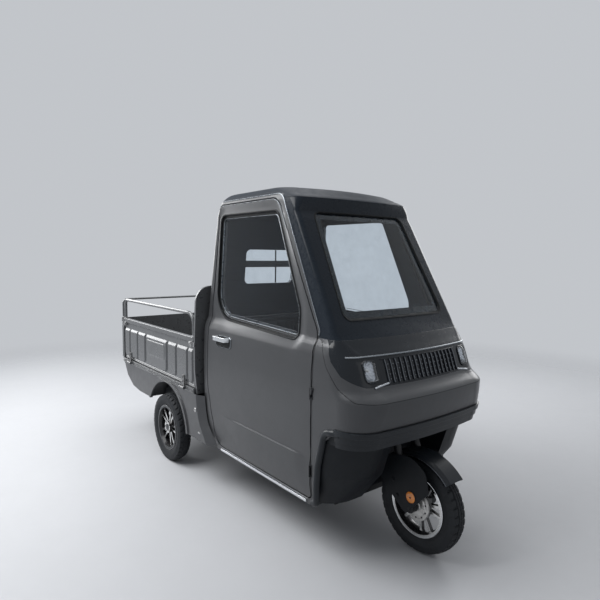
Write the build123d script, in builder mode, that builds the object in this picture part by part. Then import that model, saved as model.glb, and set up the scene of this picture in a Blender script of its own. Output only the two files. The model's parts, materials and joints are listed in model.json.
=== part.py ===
# Enclosed three-wheeled cargo vehicle: one steered wheel in front, a closed cab, a load bed behind.
# Millimetres. +X is forward, +Y is the vehicle's left, +Z is up. The origin is on the ground
# under the middle of the overall box.
from build123d import *
from functools import cache
from math import cos, sin, radians
import os

os.makedirs("parts", exist_ok=True)

# Running gear
half_length = 1590.0
wheel_radius = 250.0
tyre_width = 96.0
wheelbase = 1945.0
rear_half_track = 530.0
rim_flange_radius = 166.0
rim_bead_radius = 156.0
rim_well_radius = 140.0
rim_width = 78.0
hub_radius = 44.0
spoke_count = 5
running_gap = 0.05
axle_z = wheel_radius

# Steering
rake_deg = 20.0
fork_offset = 30.0
crown_height = 330.0
crown_thickness = 28.0
leg_radius = 21.0
leg_half_spacing = 75.0
steerer_radius = 20.0
head_tube_radius = 34.0
head_tube_start = 432.0
head_tube_length = 120.0
bar_height = 850.0
bar_radius = 11.0
bar_half_width = 290.0
bar_sweep_back = 100.0
axle_pin_radius = 8.0
fender_radius = 284.0
fender_thickness = 5.0
fender_half_width = 62.0

# Cab skin: thicknesses, all measured inwards from the outer surface
wall = 30.0
skin = 22.0
door_thickness = 42.0
frame_depth = 60.0
glass_thickness = 5.0
glass_set_in = 14.0
rear_glass_set_in = 12.0
screen_set_in = 9.0
screen_flange = 12.0
screen_frame_depth = 40.0
screen_corner = 44.0
door_side_y = 519.0
door_gap = 7.0

# Cab sections from the sill to the roof
# columns: height, rear x, front x on the centre line, front crown, front corner radius, half width
cab_sections = [
    (270, 30, 1250, 20, 120, 502),
    (430, -80, 1290, 20, 150, 518),
    (590, -121, 1388, 20, 165, 519),
    (725, -128, 1408, 20, 155, 519),
    (859, -131, 1427, 14, 180, 518),
    (915, -132, 1368, 22, 160, 516),
    (1058, -133, 1308, 30, 140, 508),
    (1100, -134, 1268, 34, 90, 497),
    (1140, -131, 1232, 36, 45, 480),
    (1222, -124, 1162, 16, 32, 474),
    (1790, -50, 848, 16, 32, 452),
    (1861, -22, 846, 26, 60, 446),
    (1889, -6, 806, 34, 80, 440),
    (1932, 60, 716, 44, 100, 404),
    (1956, 190, 560, 44, 110, 300),
]
rear_corner_radius = 42.0
roof_edge_z = 1889.0
frame_split_z = 1861.0
cowl_top_z = 1140.0
nose_split_z = 859.0
lip_top_z = 725.0
lip_bottom_z = 633.0
cab_bottom_z = 270.0
cab_floor_z = 290.0
side_split_y = 398.0
panel_front_x = 1058.0

# Door and windows, outlines in the side view
door_rear_x = -45.0
door_front_x = 1042.0
door_bottom_z = 308.0
door_top_z = 1868.0
pillar_top_x = 690.0
pillar_foot_z = 1165.0
window_flange = 24.0
window_corner = 52.0
window_rear_x = 24.0
window_front_x = 886.0
window_bottom_z = 1108.0
window_top_z = 1802.0
screen_bottom_z = 1227.0
screen_top_z = 1784.0
screen_bottom_half = 390.0
screen_top_half = 345.0
rear_window_half = 210.0
rear_window_bottom_z = 1350.0
rear_window_top_z = 1590.0
axle_ahead = 298.0
front_axle_x = door_front_x + axle_ahead
rear_axle_x = front_axle_x - wheelbase
nose_x = front_axle_x + wheel_radius
tail_x = nose_x - 2 * half_length

# Door hinges: upright pins just outside the skin, in the gap ahead of each door
door_hinge_x = door_front_x + 5.0
door_hinge_y = door_side_y + 3.0
door_hinge_zs = (460.0, 860.0)
door_barrel_radius = 6.0
door_pin_radius = 3.0
door_knuckle_length = 36.0
door_lug_length = 12.0
door_barrel_gap = 1.5

# Headlamps, grille, bumper and trim
lamp_y = 367.0
lamp_z = 998.0
lamp_width = 66.0
lamp_height = 88.0
lamp_corner = 20.0
lamp_proud = 3.0
slat_count = 17
slat_span = 540.0
slat_width = 9.0
slat_proud = 7.0
slat_bottom_z = 934.0
slat_top_z = 1046.0
bumper_rear_x = 1225.0
bumper_depth = 30.0
# columns: bottom, top, inset of the outer face
ridge_table = [
    (697, lip_top_z, -9),
    (665, 697, -1),
    (lip_bottom_z, 665, 7),
]
moulding_width = 38.0
moulding_proud = 17.0
moulding_base = 24.0
trim_proud = 9.0

# Load bed
tail_reach = 42.0
bed_rear_x = tail_x + tail_reach
bed_front_x = -165.0
bed_half_width = 562.0
bed_floor_top = 636.0
bed_floor_thickness = 36.0
gate_top_z = 990.0
gate_thickness = 28.0
gate_gap = 6.0
panel_raise = 8.0
rail_top_z = 1152.0
rail_radius = 12.0
headboard_top_z = 1340.0
headboard_thickness = 20.0
hinge_z = 618.0
hinge_radius = 9.0
hinge_pin_radius = 5.0
hinge_reach = 16.0
hinge_inset = 150.0
knuckle_length = 40.0
lug_length = 14.0
hinge_end_gap = 0.5
strap_thickness = 8.0
gate_bottom_gap = 4.0
tail_thickness = 18.0
tail_rail_radius = 9.0
headboard_half = 562.0
headboard_corner = 112.0
headboard_rim = 22.0
headboard_recess = 6.0
skirt_bottom_z = 290.0
skirt_rear_z = 405.0
flare_proud = 10.0
skirt_thickness = 12.0
arch_radius = 340.0
flare_width = 26.0
post_size = 24.0

# Chassis
rail_half_spacing = 300.0
rail_width = 40.0
rail_height = 60.0
bed_rail_z = 500.0
cab_rail_z = 240.0
axle_tube_radius = 32.0
spindle_radius = 15.0


def rect_solid(low, high):
    """Box between two corners."""
    size = [high[i] - low[i] for i in range(3)]
    middle = tuple((high[i] + low[i]) / 2 for i in range(3))
    with BuildPart() as solid:
        with Locations(middle):
            Box(*size)
    return solid.part


@cache
def cab_body(inset):
    """The cab's closed outer form, moved inwards by inset (outwards if negative)."""
    with BuildPart() as body:
        for z, rear, front, crown, corner, half in cab_sections:
            x_rear = rear + inset
            x_front = front - inset
            y_half = half - inset
            r = max(corner - inset, 12)
            r_rear = max(rear_corner_radius - inset, 6)
            x_side = x_front - crown - r
            top = z if z < roof_edge_z else z - max(inset, 0) * (z - roof_edge_z) / 60
            with BuildSketch(Plane.XY.offset(top)):
                with BuildLine():
                    half_front = y_half - r
                    bend = r * (1 - cos(radians(45)))
                    rear_bend = r_rear * (1 - cos(radians(45)))
                    Line((x_rear + r_rear, -y_half), (x_side, -y_half))
                    ThreePointArc(
                        (x_side, -y_half),
                        (x_side + r - bend, -y_half + bend),
                        (x_side + r, -half_front),
                    )
                    ThreePointArc((x_side + r, -half_front), (x_front, 0), (x_side + r, half_front))
                    ThreePointArc(
                        (x_side + r, half_front),
                        (x_side + r - bend, y_half - bend),
                        (x_side, y_half),
                    )
                    Line((x_side, y_half), (x_rear + r_rear, y_half))
                    ThreePointArc(
                        (x_rear + r_rear, y_half),
                        (x_rear + rear_bend, y_half - rear_bend),
                        (x_rear, y_half - r_rear),
                    )
                    Line((x_rear, y_half - r_rear), (x_rear, -y_half + r_rear))
                    ThreePointArc(
                        (x_rear, -y_half + r_rear),
                        (x_rear + rear_bend, -y_half + rear_bend),
                        (x_rear + r_rear, -y_half),
                    )
                make_face()
        loft(ruled=True)
    return body.part


def side_solid(outline, near=0.0, far=900.0, grow=0.0):
    """A side-view outline pushed out to the vehicle's right, from y = -near to y = -far."""
    points, radii = outline
    with BuildPart() as solid:
        with BuildSketch(Plane.XZ.offset(near)):
            with BuildLine():
                FilletPolyline(*points, radius=radii, close=True)
            make_face()
            if grow:
                offset(amount=grow)
        extrude(amount=far - near)
    return solid.part


def across(points):
    """A side-view polygon pushed through the whole width."""
    return side_solid((points, [0] * len(points)), near=-900.0, far=900.0)


def layer(outer, inner, low, high):
    """The part of the cab's skin between two insets that lies inside a box."""
    return (cab_body(outer) & rect_solid(low, high)) - cab_body(inner)


# The door's outline: rear edge leans with the cab, the lower rear corner is a wide bend,
# and the front edge follows the pillar and then drops straight to the sill.
door_outline = (
    [
        (door_rear_x + 58, door_top_z),
        (pillar_top_x - 40, door_top_z),
        (door_front_x - 2, pillar_foot_z),
        (door_front_x, door_bottom_z),
        (door_rear_x + 124, door_bottom_z),
        (door_rear_x - 1, door_bottom_z + 382),
        (door_rear_x + 2, door_bottom_z + 940),
    ],
    [30, 100, 60, 24, 90, 500, 300],
)
window_outline = (
    [
        (window_rear_x, window_top_z),
        (window_front_x - 236, window_top_z - 4),
        (window_front_x, window_bottom_z + 160),
        (window_front_x, window_bottom_z),
        (window_rear_x - 26, window_bottom_z + 38),
    ],
    [window_corner, window_corner, 150, 38, 180],
)
cab_side_outline = [
    (-300, 200),
    (panel_front_x, 200),
    (panel_front_x, pillar_foot_z - 14),
    (panel_front_x + 4, pillar_foot_z + 10),
    (pillar_top_x + 26, door_top_z - 18),
    (pillar_top_x + 6, roof_edge_z),
    (-300, roof_edge_z),
]
screen_frame_outline = [
    (panel_front_x, cowl_top_z),
    (panel_front_x, pillar_foot_z - 14),
    (panel_front_x + 4, pillar_foot_z + 10),
    (pillar_top_x + 26, door_top_z - 18),
    (pillar_top_x + 21, frame_split_z),
    (1500, frame_split_z),
    (1500, cowl_top_z),
]
roof_outline = [
    (-300, roof_edge_z),
    (pillar_top_x + 6, roof_edge_z),
    (pillar_top_x + 21, frame_split_z),
    (1500, frame_split_z),
    (1500, 2100),
    (-300, 2100),
]
# The seam round the nose and the lower edge of the black panel, from the pillar's foot forwards
seam_line = [
    (panel_front_x, 1140),
    (1096, 1118),
    (1150, 1010),
    (1235, 915),
    (1330, 868),
    (1500, nose_split_z),
]
black_edge = [(1120, 1140), (1150, 1105), (1176, 1040), (1240, 975), (1330, 928), (1500, 912)]
moulding_line = [(1077, 315), (1077, 350), (1104, 505), (1150, 640), (1225, lip_top_z - 20)]
black_outline = black_edge + [(1500, cowl_top_z)]
band_outline = seam_line + black_edge[::-1]
front_shell_outline = (
    [(panel_front_x, cowl_top_z)]
    + [(panel_front_x, 330)]
    + moulding_line[1:]
    + [(1300, lip_top_z), (1500, lip_top_z)]
    + seam_line[:0:-1]
)



def door_barrel(z, length, radius, foot_x=0.0, foot_y=0.0):
    """Upright cylinder on the right door's hinge axis, centred at z, with a foot towards one side."""
    with BuildPart() as solid:
        with BuildSketch(Plane.XY.offset(z - length / 2)):
            with Locations((door_hinge_x, -door_hinge_y)):
                Circle(radius)
                if foot_x:
                    with Locations((foot_x / 2, foot_y / 2)):
                        Rectangle(abs(foot_x), foot_y)
        extrude(amount=length)
    return solid.part


door_lug_shift = (door_knuckle_length + door_lug_length) / 2 + hinge_end_gap
door_hinge_room = [
    door_barrel(z, 2 * door_lug_shift + door_lug_length + 2, door_barrel_radius + door_barrel_gap)
    for z in door_hinge_zs
]

# Cab body sides: the frame round each door, with the sill, the rear corner and the roof rail
side_low = (-400, -900, 0)
side_high = (1100, -side_split_y, roof_edge_z)
with BuildPart() as side_frame_right:
    add(layer(0, frame_depth, side_low, side_high))
    add(across(cab_side_outline), mode=Mode.INTERSECT)
    add(side_solid(door_outline, grow=-16), mode=Mode.SUBTRACT)
    add(side_solid(door_outline, grow=door_gap) - cab_body(door_thickness + 1), mode=Mode.SUBTRACT)
    for room in door_hinge_room:
        add(room, mode=Mode.SUBTRACT)
    for z in door_hinge_zs:
        add(door_barrel(z, 2 * door_lug_shift, door_pin_radius))
        for shift in (-door_lug_shift, door_lug_shift):
            add(door_barrel(z + shift, door_lug_length, door_barrel_radius, foot_x=11.0, foot_y=18.0))

with BuildPart() as side_frame_left:
    mirror(side_frame_right.part, about=Plane.XZ)

# Doors: whole thickness, with the window's sunk flange and the opening
window_low = (-60, -900, 1000)
window_high = (1000, -300, 1860)
glass_depth = glass_set_in + glass_thickness
with BuildPart() as door_right:
    add(layer(0, door_thickness, (-100, -900, 300), (1080, -395, 1880)))
    add(side_solid(door_outline), mode=Mode.INTERSECT)
    add(side_solid(window_outline, grow=-window_flange), mode=Mode.SUBTRACT)
    add(side_solid(window_outline) - cab_body(glass_depth), mode=Mode.SUBTRACT)
    for room in door_hinge_room:
        add(room, mode=Mode.SUBTRACT)
    for z in door_hinge_zs:
        add(door_barrel(z, door_knuckle_length, door_barrel_radius, foot_x=-14.0, foot_y=9.0))
        add(
            door_barrel(z, 2 * door_lug_shift, door_pin_radius + running_gap),
            mode=Mode.SUBTRACT,
        )

with BuildPart() as door_left:
    mirror(door_right.part, about=Plane.XZ)

with BuildPart() as door_glass_right:
    add(layer(glass_set_in, glass_depth, window_low, window_high))
    add(side_solid(window_outline), mode=Mode.INTERSECT)

with BuildPart() as door_glass_left:
    mirror(door_glass_right.part, about=Plane.XZ)

# Door handles: a bar on two feet
handle_x = 150.0
handle_z = 1018.0
handle_length = 168.0
handle_out = 30.0
handle_height = 28.0
handle_root_y = 500.0
with BuildPart() as door_handle_right:
    with BuildSketch(Plane.XY.offset(handle_z - handle_height / 2)):
        with BuildLine():
            end = handle_length / 2
            out_y = -door_side_y - handle_out
            FilletPolyline(
                (handle_x - end, -handle_root_y),
                (handle_x - end + 14, out_y),
                (handle_x + end - 14, out_y),
                (handle_x + end, -handle_root_y),
                (handle_x + end - 26, -handle_root_y),
                (handle_x + end - 34, out_y + 12),
                (handle_x - end + 34, out_y + 12),
                (handle_x - end + 26, -handle_root_y),
                radius=[0, 8, 8, 0, 0, 6, 6, 0],
                close=True,
            )
        make_face()
    extrude(amount=handle_height)
    add(cab_body(0), mode=Mode.SUBTRACT)

with BuildPart() as door_handle_left:
    mirror(door_handle_right.part, about=Plane.XZ)


def rear_window_solid():
    """The rear window's outline pushed through the back of the cab."""
    with BuildPart() as solid:
        with BuildSketch(Plane.YZ.offset(-300)):
            with Locations((0, (rear_window_bottom_z + rear_window_top_z) / 2)):
                RectangleRounded(2 * rear_window_half, rear_window_top_z - rear_window_bottom_z, 34)
        extrude(amount=400)
    return solid.part


# Rear wall with its window
rear_low = (-400, -side_split_y, cab_bottom_z)
rear_high = (130, side_split_y, roof_edge_z)
with BuildPart() as rear_wall:
    add(layer(0, wall, rear_low, rear_high))
    add(rear_window_solid(), mode=Mode.SUBTRACT)

with BuildPart() as rear_window:
    add(layer(rear_glass_set_in, rear_glass_set_in + glass_thickness, rear_low, rear_high))
    add(rear_window_solid(), mode=Mode.INTERSECT)

# Roof
with BuildPart() as roof:
    add(layer(0, skin, (-400, -900, frame_split_z), (1500, 900, 2100)))
    add(across(roof_outline), mode=Mode.INTERSECT)


def screen_solid(grow):
    """The windscreen's outline, as seen from the front, pushed through the front of the cab."""
    points = [
        (-screen_bottom_half, screen_bottom_z),
        (screen_bottom_half, screen_bottom_z),
        (screen_top_half, screen_top_z),
        (-screen_top_half, screen_top_z),
    ]
    with BuildPart() as solid:
        with BuildSketch(Plane.YZ.offset(500)):
            with BuildLine():
                FilletPolyline(*points, radius=screen_corner, close=True)
            make_face()
            if grow:
                offset(amount=grow)
        extrude(amount=1000)
    return solid.part


# Windscreen surround: both front pillars, the header and the sill under the glass
front_low = (600, -900, cowl_top_z)
front_high = (1500, 900, frame_split_z)
screen_depth = screen_set_in + glass_thickness
with BuildPart() as screen_frame:
    add(layer(0, screen_frame_depth, front_low, front_high))
    add(across(screen_frame_outline), mode=Mode.INTERSECT)
    add(screen_solid(-screen_flange), mode=Mode.SUBTRACT)
    add(screen_solid(0) - cab_body(screen_depth), mode=Mode.SUBTRACT)

with BuildPart() as windscreen:
    add(layer(screen_set_in, screen_depth, (800, -500, 1150), (1300, 500, 1850)))
    add(screen_solid(-2), mode=Mode.INTERSECT)


def lamp_holes():
    """Both headlamps' square openings with round corners, pushed backwards from the nose."""
    with BuildPart() as solid:
        with BuildSketch(Plane.YZ.offset(1100)):
            with Locations((lamp_y, lamp_z), (-lamp_y, lamp_z)):
                RectangleRounded(lamp_width, lamp_height, lamp_corner)
        extrude(amount=400)
    return solid.part


# Headlamps, one at each end of the grille
with BuildPart() as headlamps:
    add(layer(-lamp_proud, skin, (1100, -500, 900), (1500, 500, 1100)))
    add(lamp_holes(), mode=Mode.INTERSECT)

# Black front panel under the windscreen, with its curved upright grille bars
with BuildPart() as slat_blocks:
    with BuildSketch(Plane.XY.offset(slat_bottom_z)):
        with Locations((1330, 0)):
            with GridLocations(0, slat_span / (slat_count - 1), 1, slat_count):
                Rectangle(220, slat_width)
    extrude(amount=slat_top_z - slat_bottom_z)
slat_room = layer(-slat_proud, 0, (1200, -350, slat_bottom_z), (1500, 350, slat_top_z))
with BuildPart() as cowl_panel:
    add(layer(0, skin, (1050, -900, nose_split_z), (1500, 900, cowl_top_z)))
    add(across(black_outline), mode=Mode.INTERSECT)
    add(lamp_holes(), mode=Mode.SUBTRACT)
    add(slat_room & slat_blocks.part)

# Body-coloured band round the nose, and the wrap-round front shell below the seam
with BuildPart() as nose_band:
    add(layer(0, skin, (1050, -900, nose_split_z - 20), (1500, 900, cowl_top_z)))
    add(across(band_outline), mode=Mode.INTERSECT)

with BuildPart() as front_shell:
    add(layer(0, skin, (1050, -900, cab_bottom_z), (1500, 900, cowl_top_z)))
    add(across(front_shell_outline), mode=Mode.INTERSECT)

# Ridged bumper moulding: three steps, each further in than the one above
with BuildPart() as bumper:
    for bottom, top, inset in ridge_table:
        add(layer(inset, bumper_depth, (bumper_rear_x, -900, bottom), (1600, 900, top)))
    add(front_shell.part, mode=Mode.SUBTRACT)

# Bright strip under each door
with BuildPart() as sill_trims:
    for side in (-1, 1):
        near, far = sorted((side * 420, side * 700))
        trim_low = (door_rear_x + 160, near, cab_bottom_z + 6)
        trim_high = (panel_front_x - 54, far, cab_bottom_z + 22)
        add(layer(-trim_proud, 0, trim_low, trim_high))


# Footwell tub: the black lower front, wrapped round the arch of the front wheel
# columns: height, front x, front corner radius, half width
tub_sections = [
    (275, 1130, 190, 499),
    (450, 1272, 230, 511),
    (633, 1335, 245, 514),
]


def tub_body(inset):
    """The tub's closed outer form, moved inwards by inset and cut off behind the door's front."""
    with BuildPart() as body:
        for z, front, corner, half in tub_sections:
            rear = 800
            r = corner - inset
            y_half = half - inset
            x_side = front - inset - r
            bend = r * (1 - cos(radians(45)))
            with BuildSketch(Plane.XY.offset(z)):
                with BuildLine():
                    Line((rear, -y_half), (x_side, -y_half))
                    ThreePointArc(
                        (x_side, -y_half),
                        (x_side + r - bend, -y_half + bend),
                        (x_side + r, -y_half + r),
                    )
                    Line((x_side + r, -y_half + r), (x_side + r, y_half - r))
                    ThreePointArc(
                        (x_side + r, y_half - r),
                        (x_side + r - bend, y_half - bend),
                        (x_side, y_half),
                    )
                    Line((x_side, y_half), (rear, y_half))
                    Line((rear, y_half), (rear, -y_half))
                make_face()
        loft(ruled=True)
        add(rect_solid((panel_front_x - inset, -900, 0), (1600, 900, 900)), mode=Mode.INTERSECT)
    return body.part


tub_wall = 16.0
arch_half_width = 228.0
arch_rear_gap = 14.0
tub_top_thickness = 14.0
steerer_hole_radius = 46.0
rake = radians(rake_deg)
steer_foot_x = front_axle_x - fork_offset / cos(rake)


def steer_plane(height):
    """Plane square to the steering axis, height along it from the wheel's centre."""
    return Plane(
        origin=(steer_foot_x - height * sin(rake), 0, axle_z + height * cos(rake)),
        x_dir=(cos(rake), 0, sin(rake)),
        z_dir=(-sin(rake), 0, cos(rake)),
    )


def steer_cylinder(radius, start, length):
    """Cylinder along the steering axis."""
    with BuildPart() as solid:
        with BuildSketch(steer_plane(start)):
            Circle(radius)
        extrude(amount=length)
    return solid.part


# Chassis: two rails that drop under the cab, cross members, bed bearers and the steering head
cross_members = [
    # x, z of the rail there
    (bed_rear_x + 40, bed_rail_z),
    (rear_axle_x - 445, bed_rail_z),
    (rear_axle_x + 275, bed_rail_z),
    (60, cab_rail_z),
    (panel_front_x - 58, cab_rail_z),
]
bearer_half = 500.0
neck_width = 60.0
neck_depth = 46.0
with BuildPart() as chassis:
    for side in (-1, 1):
        with BuildLine(Plane.XZ.offset(-side * rail_half_spacing)) as rail_path:
            FilletPolyline(
                (bed_rear_x + 10, bed_rail_z),
                (-250, bed_rail_z),
                (-50, cab_rail_z),
                (panel_front_x - 38, cab_rail_z),
                radius=70,
            )
        with BuildSketch(Plane(origin=rail_path.line @ 0, x_dir=(0, 1, 0), z_dir=(1, 0, 0))):
            Rectangle(rail_width, rail_height)
        sweep(path=rail_path.line)
    for x, z in cross_members:
        add(rect_solid(
            (x - 20, -rail_half_spacing, z - rail_height / 2),
            (x + 20, rail_half_spacing, z + rail_height / 2),
        ))
    for x, z in cross_members[:3]:
        add(rect_solid(
            (x - 20, -bearer_half, bed_rail_z + rail_height / 2),
            (x + 20, bearer_half, bed_floor_top - bed_floor_thickness),
        ))
    with BuildLine(Plane.XZ) as neck_path:
        FilletPolyline(
            (panel_front_x - 58, cab_rail_z),
            (panel_front_x - 36, lip_bottom_z - 20),
            (steer_plane(head_tube_start + head_tube_length / 2).origin.X,
             steer_plane(head_tube_start + head_tube_length / 2).origin.Z),
            radius=70,
        )
    with BuildSketch(Plane(origin=neck_path.line @ 0, x_dir=(0, 1, 0), z_dir=neck_path.line % 0)):
        Rectangle(neck_width, neck_depth)
    sweep(path=neck_path.line)
    add(steer_cylinder(head_tube_radius, head_tube_start, head_tube_length))
    add(
        steer_cylinder(steerer_radius + running_gap, head_tube_start - 60, head_tube_length + 120),
        mode=Mode.SUBTRACT,
    )

arch_wall_half = arch_half_width + tub_wall
arch_wall = rect_solid((0, -arch_wall_half, 0), (1600, arch_wall_half, lip_bottom_z))
arch_hollow = rect_solid(
    (panel_front_x + arch_rear_gap, -arch_half_width, 0), (1600, arch_half_width, lip_bottom_z)
)
foot_room = rect_solid((1000, -900, cab_floor_z), (1600, 900, lip_bottom_z))
with BuildPart() as footwell_tub:
    add(tub_body(0))
    add((tub_body(tub_wall) & foot_room) - arch_wall, mode=Mode.SUBTRACT)
    add(arch_hollow, mode=Mode.SUBTRACT)
    plate_low = (panel_front_x, -900, lip_bottom_z)
    plate_high = (1600, 900, lip_bottom_z + tub_top_thickness)
    add(cab_body(bumper_depth) & rect_solid(plate_low, plate_high))
    for side in (-1, 1):
        near, far = sorted((side * arch_wall_half, side * 470))
        foot_hole = rect_solid((panel_front_x, near, 600), (bumper_rear_x - 10, far, 700))
        add(foot_hole, mode=Mode.SUBTRACT)
    add(steer_cylinder(steerer_hole_radius, 340, 140), mode=Mode.SUBTRACT)
    add(front_shell.part, mode=Mode.SUBTRACT)
    add(chassis.part, mode=Mode.SUBTRACT)

# Raised moulding that rises from the sill to the bumper, one on each side
with BuildPart() as side_mouldings:
    with BuildLine(Plane.XZ.offset(door_side_y)) as moulding_path:
        FilletPolyline(
            (panel_front_x - 4, cab_bottom_z + 18),
            (panel_front_x + 22, cab_bottom_z + 28),
            (panel_front_x + 46, 505),
            (panel_front_x + 94, lip_top_z - 35),
            (bumper_rear_x, lip_top_z - 20),
            radius=[20, 60, 50],
        )
    start_plane = Plane(
        origin=moulding_path.line @ 0, x_dir=(0, 0, 1), z_dir=moulding_path.line % 0
    )
    with BuildSketch(start_plane):
        with BuildLine():
            arc_end = moulding_width / 2
            ThreePointArc((-arc_end, 0), (0, moulding_proud), (arc_end, 0))
            Polyline((arc_end, 0), (arc_end, -moulding_base), (-arc_end, -moulding_base), (-arc_end, 0))
        make_face()
    sweep(path=moulding_path.line)
    for neighbour in (bumper, front_shell, side_frame_right, footwell_tub):
        add(neighbour.part, mode=Mode.SUBTRACT)
    mirror(about=Plane.XZ)

# Cab floor pan, inside the body sides
with BuildPart() as cab_floor:
    add(cab_body(frame_depth) & rect_solid((-300, -900, cab_bottom_z), (panel_front_x, 900, cab_floor_z)))
    add(rear_wall.part, mode=Mode.SUBTRACT)
    add(chassis.part, mode=Mode.SUBTRACT)

# Seat on the battery case
seat_half_width = 300.0
seat_front_x = 430.0
case_top_z = 560.0
cushion_thickness = 90.0
seat_back_top_z = 1130.0
seat_back_front_x = -24.0
seat_rear_x = -10.0
case_rear_x = 70.0
with BuildPart() as battery_case:
    add(rect_solid(
        (case_rear_x, -seat_half_width + 20, cab_floor_z),
        (seat_front_x - 20, seat_half_width - 20, case_top_z),
    ))

with BuildPart() as seat_cushion:
    add(rect_solid(
        (seat_rear_x, -seat_half_width, case_top_z),
        (seat_front_x, seat_half_width, case_top_z + cushion_thickness),
    ))
    fillet(seat_cushion.edges().filter_by(Axis.Z), 30)
    fillet(seat_cushion.faces().sort_by(Axis.Z)[-1].edges(), 18)

with BuildPart() as seat_back:
    add(rect_solid(
        (-200, -seat_half_width, case_top_z + cushion_thickness),
        (seat_back_front_x, seat_half_width, seat_back_top_z),
    ) & cab_body(wall))

# Dashboard shelf across the cab behind the front panel
with BuildPart() as dashboard:
    add(across([(1128, 850), (1122, 905), (1150, 950), (1340, 950), (1340, 925), (1175, 925), (1150, 850)]))
    add(cab_body(skin), mode=Mode.INTERSECT)

# Load bed: hinges are round lugs on pins, two for each gate
gate_front_x = bed_front_x - gate_gap
gate_rear_x = bed_rear_x + post_size + 2 * gate_gap
gate_bottom_z = bed_floor_top + gate_bottom_gap
side_hinge_y = bed_half_width + hinge_reach
tail_hinge_x = tail_x + hinge_radius
tail_inner_x = bed_rear_x - gate_gap
tail_face_x = tail_inner_x - tail_thickness
tail_sheet_x = tail_face_x + panel_raise


def lug(plane_x, length, reach):
    """Round hinge lug centred on plane_x, in the X direction, with a foot of a given reach to +Y."""
    with BuildPart() as solid:
        with BuildSketch(Plane.YZ.offset(plane_x - length / 2)):
            Circle(hinge_radius)
            with Locations((reach / 2, 0)):
                Rectangle(reach, 2 * hinge_radius)
        extrude(amount=length)
    return solid.part


def fixed_hinge(reach):
    """The fixed half of a hinge along X at the origin: a pin held by two lugs."""
    shift = knuckle_length / 2 + hinge_end_gap + lug_length / 2
    with BuildPart() as solid:
        with BuildSketch(Plane.YZ.offset(-shift)):
            Circle(hinge_pin_radius)
        extrude(amount=2 * shift)
        for side in (-1, 1):
            add(lug(side * shift, lug_length, reach))
    return solid.part


def moving_hinge(reach):
    """The moving knuckle of a hinge along X at the origin."""
    with BuildPart() as solid:
        add(lug(0, knuckle_length, reach))
        with BuildSketch(Plane.YZ.offset(-knuckle_length)):
            Circle(hinge_pin_radius + running_gap)
        extrude(amount=2 * knuckle_length, mode=Mode.SUBTRACT)
    return solid.part


knuckle_part = moving_hinge(hinge_reach - 5)
side_hinge_xs = [gate_rear_x + hinge_inset, gate_front_x - hinge_inset]
tail_hinge_ys = [-bed_half_width + hinge_inset, bed_half_width - hinge_inset]
right_hinges = [Location((x, -side_hinge_y, hinge_z)) for x in side_hinge_xs]
left_hinges = [Location((x, side_hinge_y, hinge_z), (0, 0, 180)) for x in side_hinge_xs]
tail_hinges = [Location((tail_hinge_x, y, hinge_z), (0, 0, -90)) for y in tail_hinge_ys]
floor_bottom_z = bed_floor_top - bed_floor_thickness

with BuildPart() as bed_floor:
    add(rect_solid(
        (bed_rear_x, -bed_half_width, floor_bottom_z), (bed_front_x, bed_half_width, bed_floor_top)
    ))
    for side in (-1, 1):
        near, far = sorted((side * (bed_half_width - gate_thickness), side * bed_half_width))
        add(rect_solid(
            (bed_rear_x, near, bed_floor_top), (bed_rear_x + post_size, far, gate_top_z)
        ))
    for place in right_hinges + left_hinges:
        add(place * fixed_hinge(hinge_reach + 2))
    for place in tail_hinges:
        add(place * fixed_hinge(bed_rear_x - tail_hinge_x + 2))

# Side gates: a pressed sheet with raised panels, a top rail and a bent tube above it
# columns: start and end of each raised panel, as shares of the gate's length from the rear
panel_table = [
    (0.010, 0.095),
    (0.107, 0.225),
    (0.237, 0.350),
    (0.370, 0.665),
    (0.685, 0.790),
    (0.802, 0.925),
    (0.937, 0.990),
]
gate_length = gate_front_x - gate_rear_x
sheet_y = -bed_half_width + panel_raise
gate_inner_y = -bed_half_width + gate_thickness
panel_bottom_z = gate_bottom_z + 26
panel_top_z = gate_top_z - 84
gate_rail_z = gate_top_z - 36
tube_y = -bed_half_width + gate_thickness / 2
with BuildPart() as side_gate_right:
    add(rect_solid((gate_rear_x, sheet_y, gate_bottom_z), (gate_front_x, gate_inner_y, gate_top_z)))
    add(rect_solid((gate_rear_x, -bed_half_width, gate_rail_z), (gate_front_x, sheet_y, gate_top_z)))
    for start, end in panel_table:
        add(rect_solid(
            (gate_rear_x + start * gate_length, -bed_half_width, panel_bottom_z),
            (gate_rear_x + end * gate_length, sheet_y, panel_top_z),
        ))
    with BuildLine(Plane.XZ.offset(-tube_y)) as tube_path:
        FilletPolyline(
            (gate_rear_x + rail_radius + 2, gate_top_z - 5),
            (gate_rear_x + rail_radius + 2, rail_top_z),
            (gate_front_x - rail_radius - 2, rail_top_z),
            (gate_front_x - rail_radius - 2, gate_top_z - 5),
            radius=[34, 78],
        )
    with BuildSketch(Plane(origin=tube_path.line @ 0, z_dir=tube_path.line % 0)):
        Circle(rail_radius)
    sweep(path=tube_path.line)
    for place in right_hinges:
        add(place * knuckle_part)
        strap_x = place.position.X
        add(rect_solid(
            (strap_x - knuckle_length / 2, -bed_half_width - strap_thickness, hinge_z + hinge_radius - 3),
            (strap_x + knuckle_length / 2, -bed_half_width, panel_bottom_z + 40),
        ))

with BuildPart() as side_gate_left:
    mirror(side_gate_right.part, about=Plane.XZ)

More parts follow.
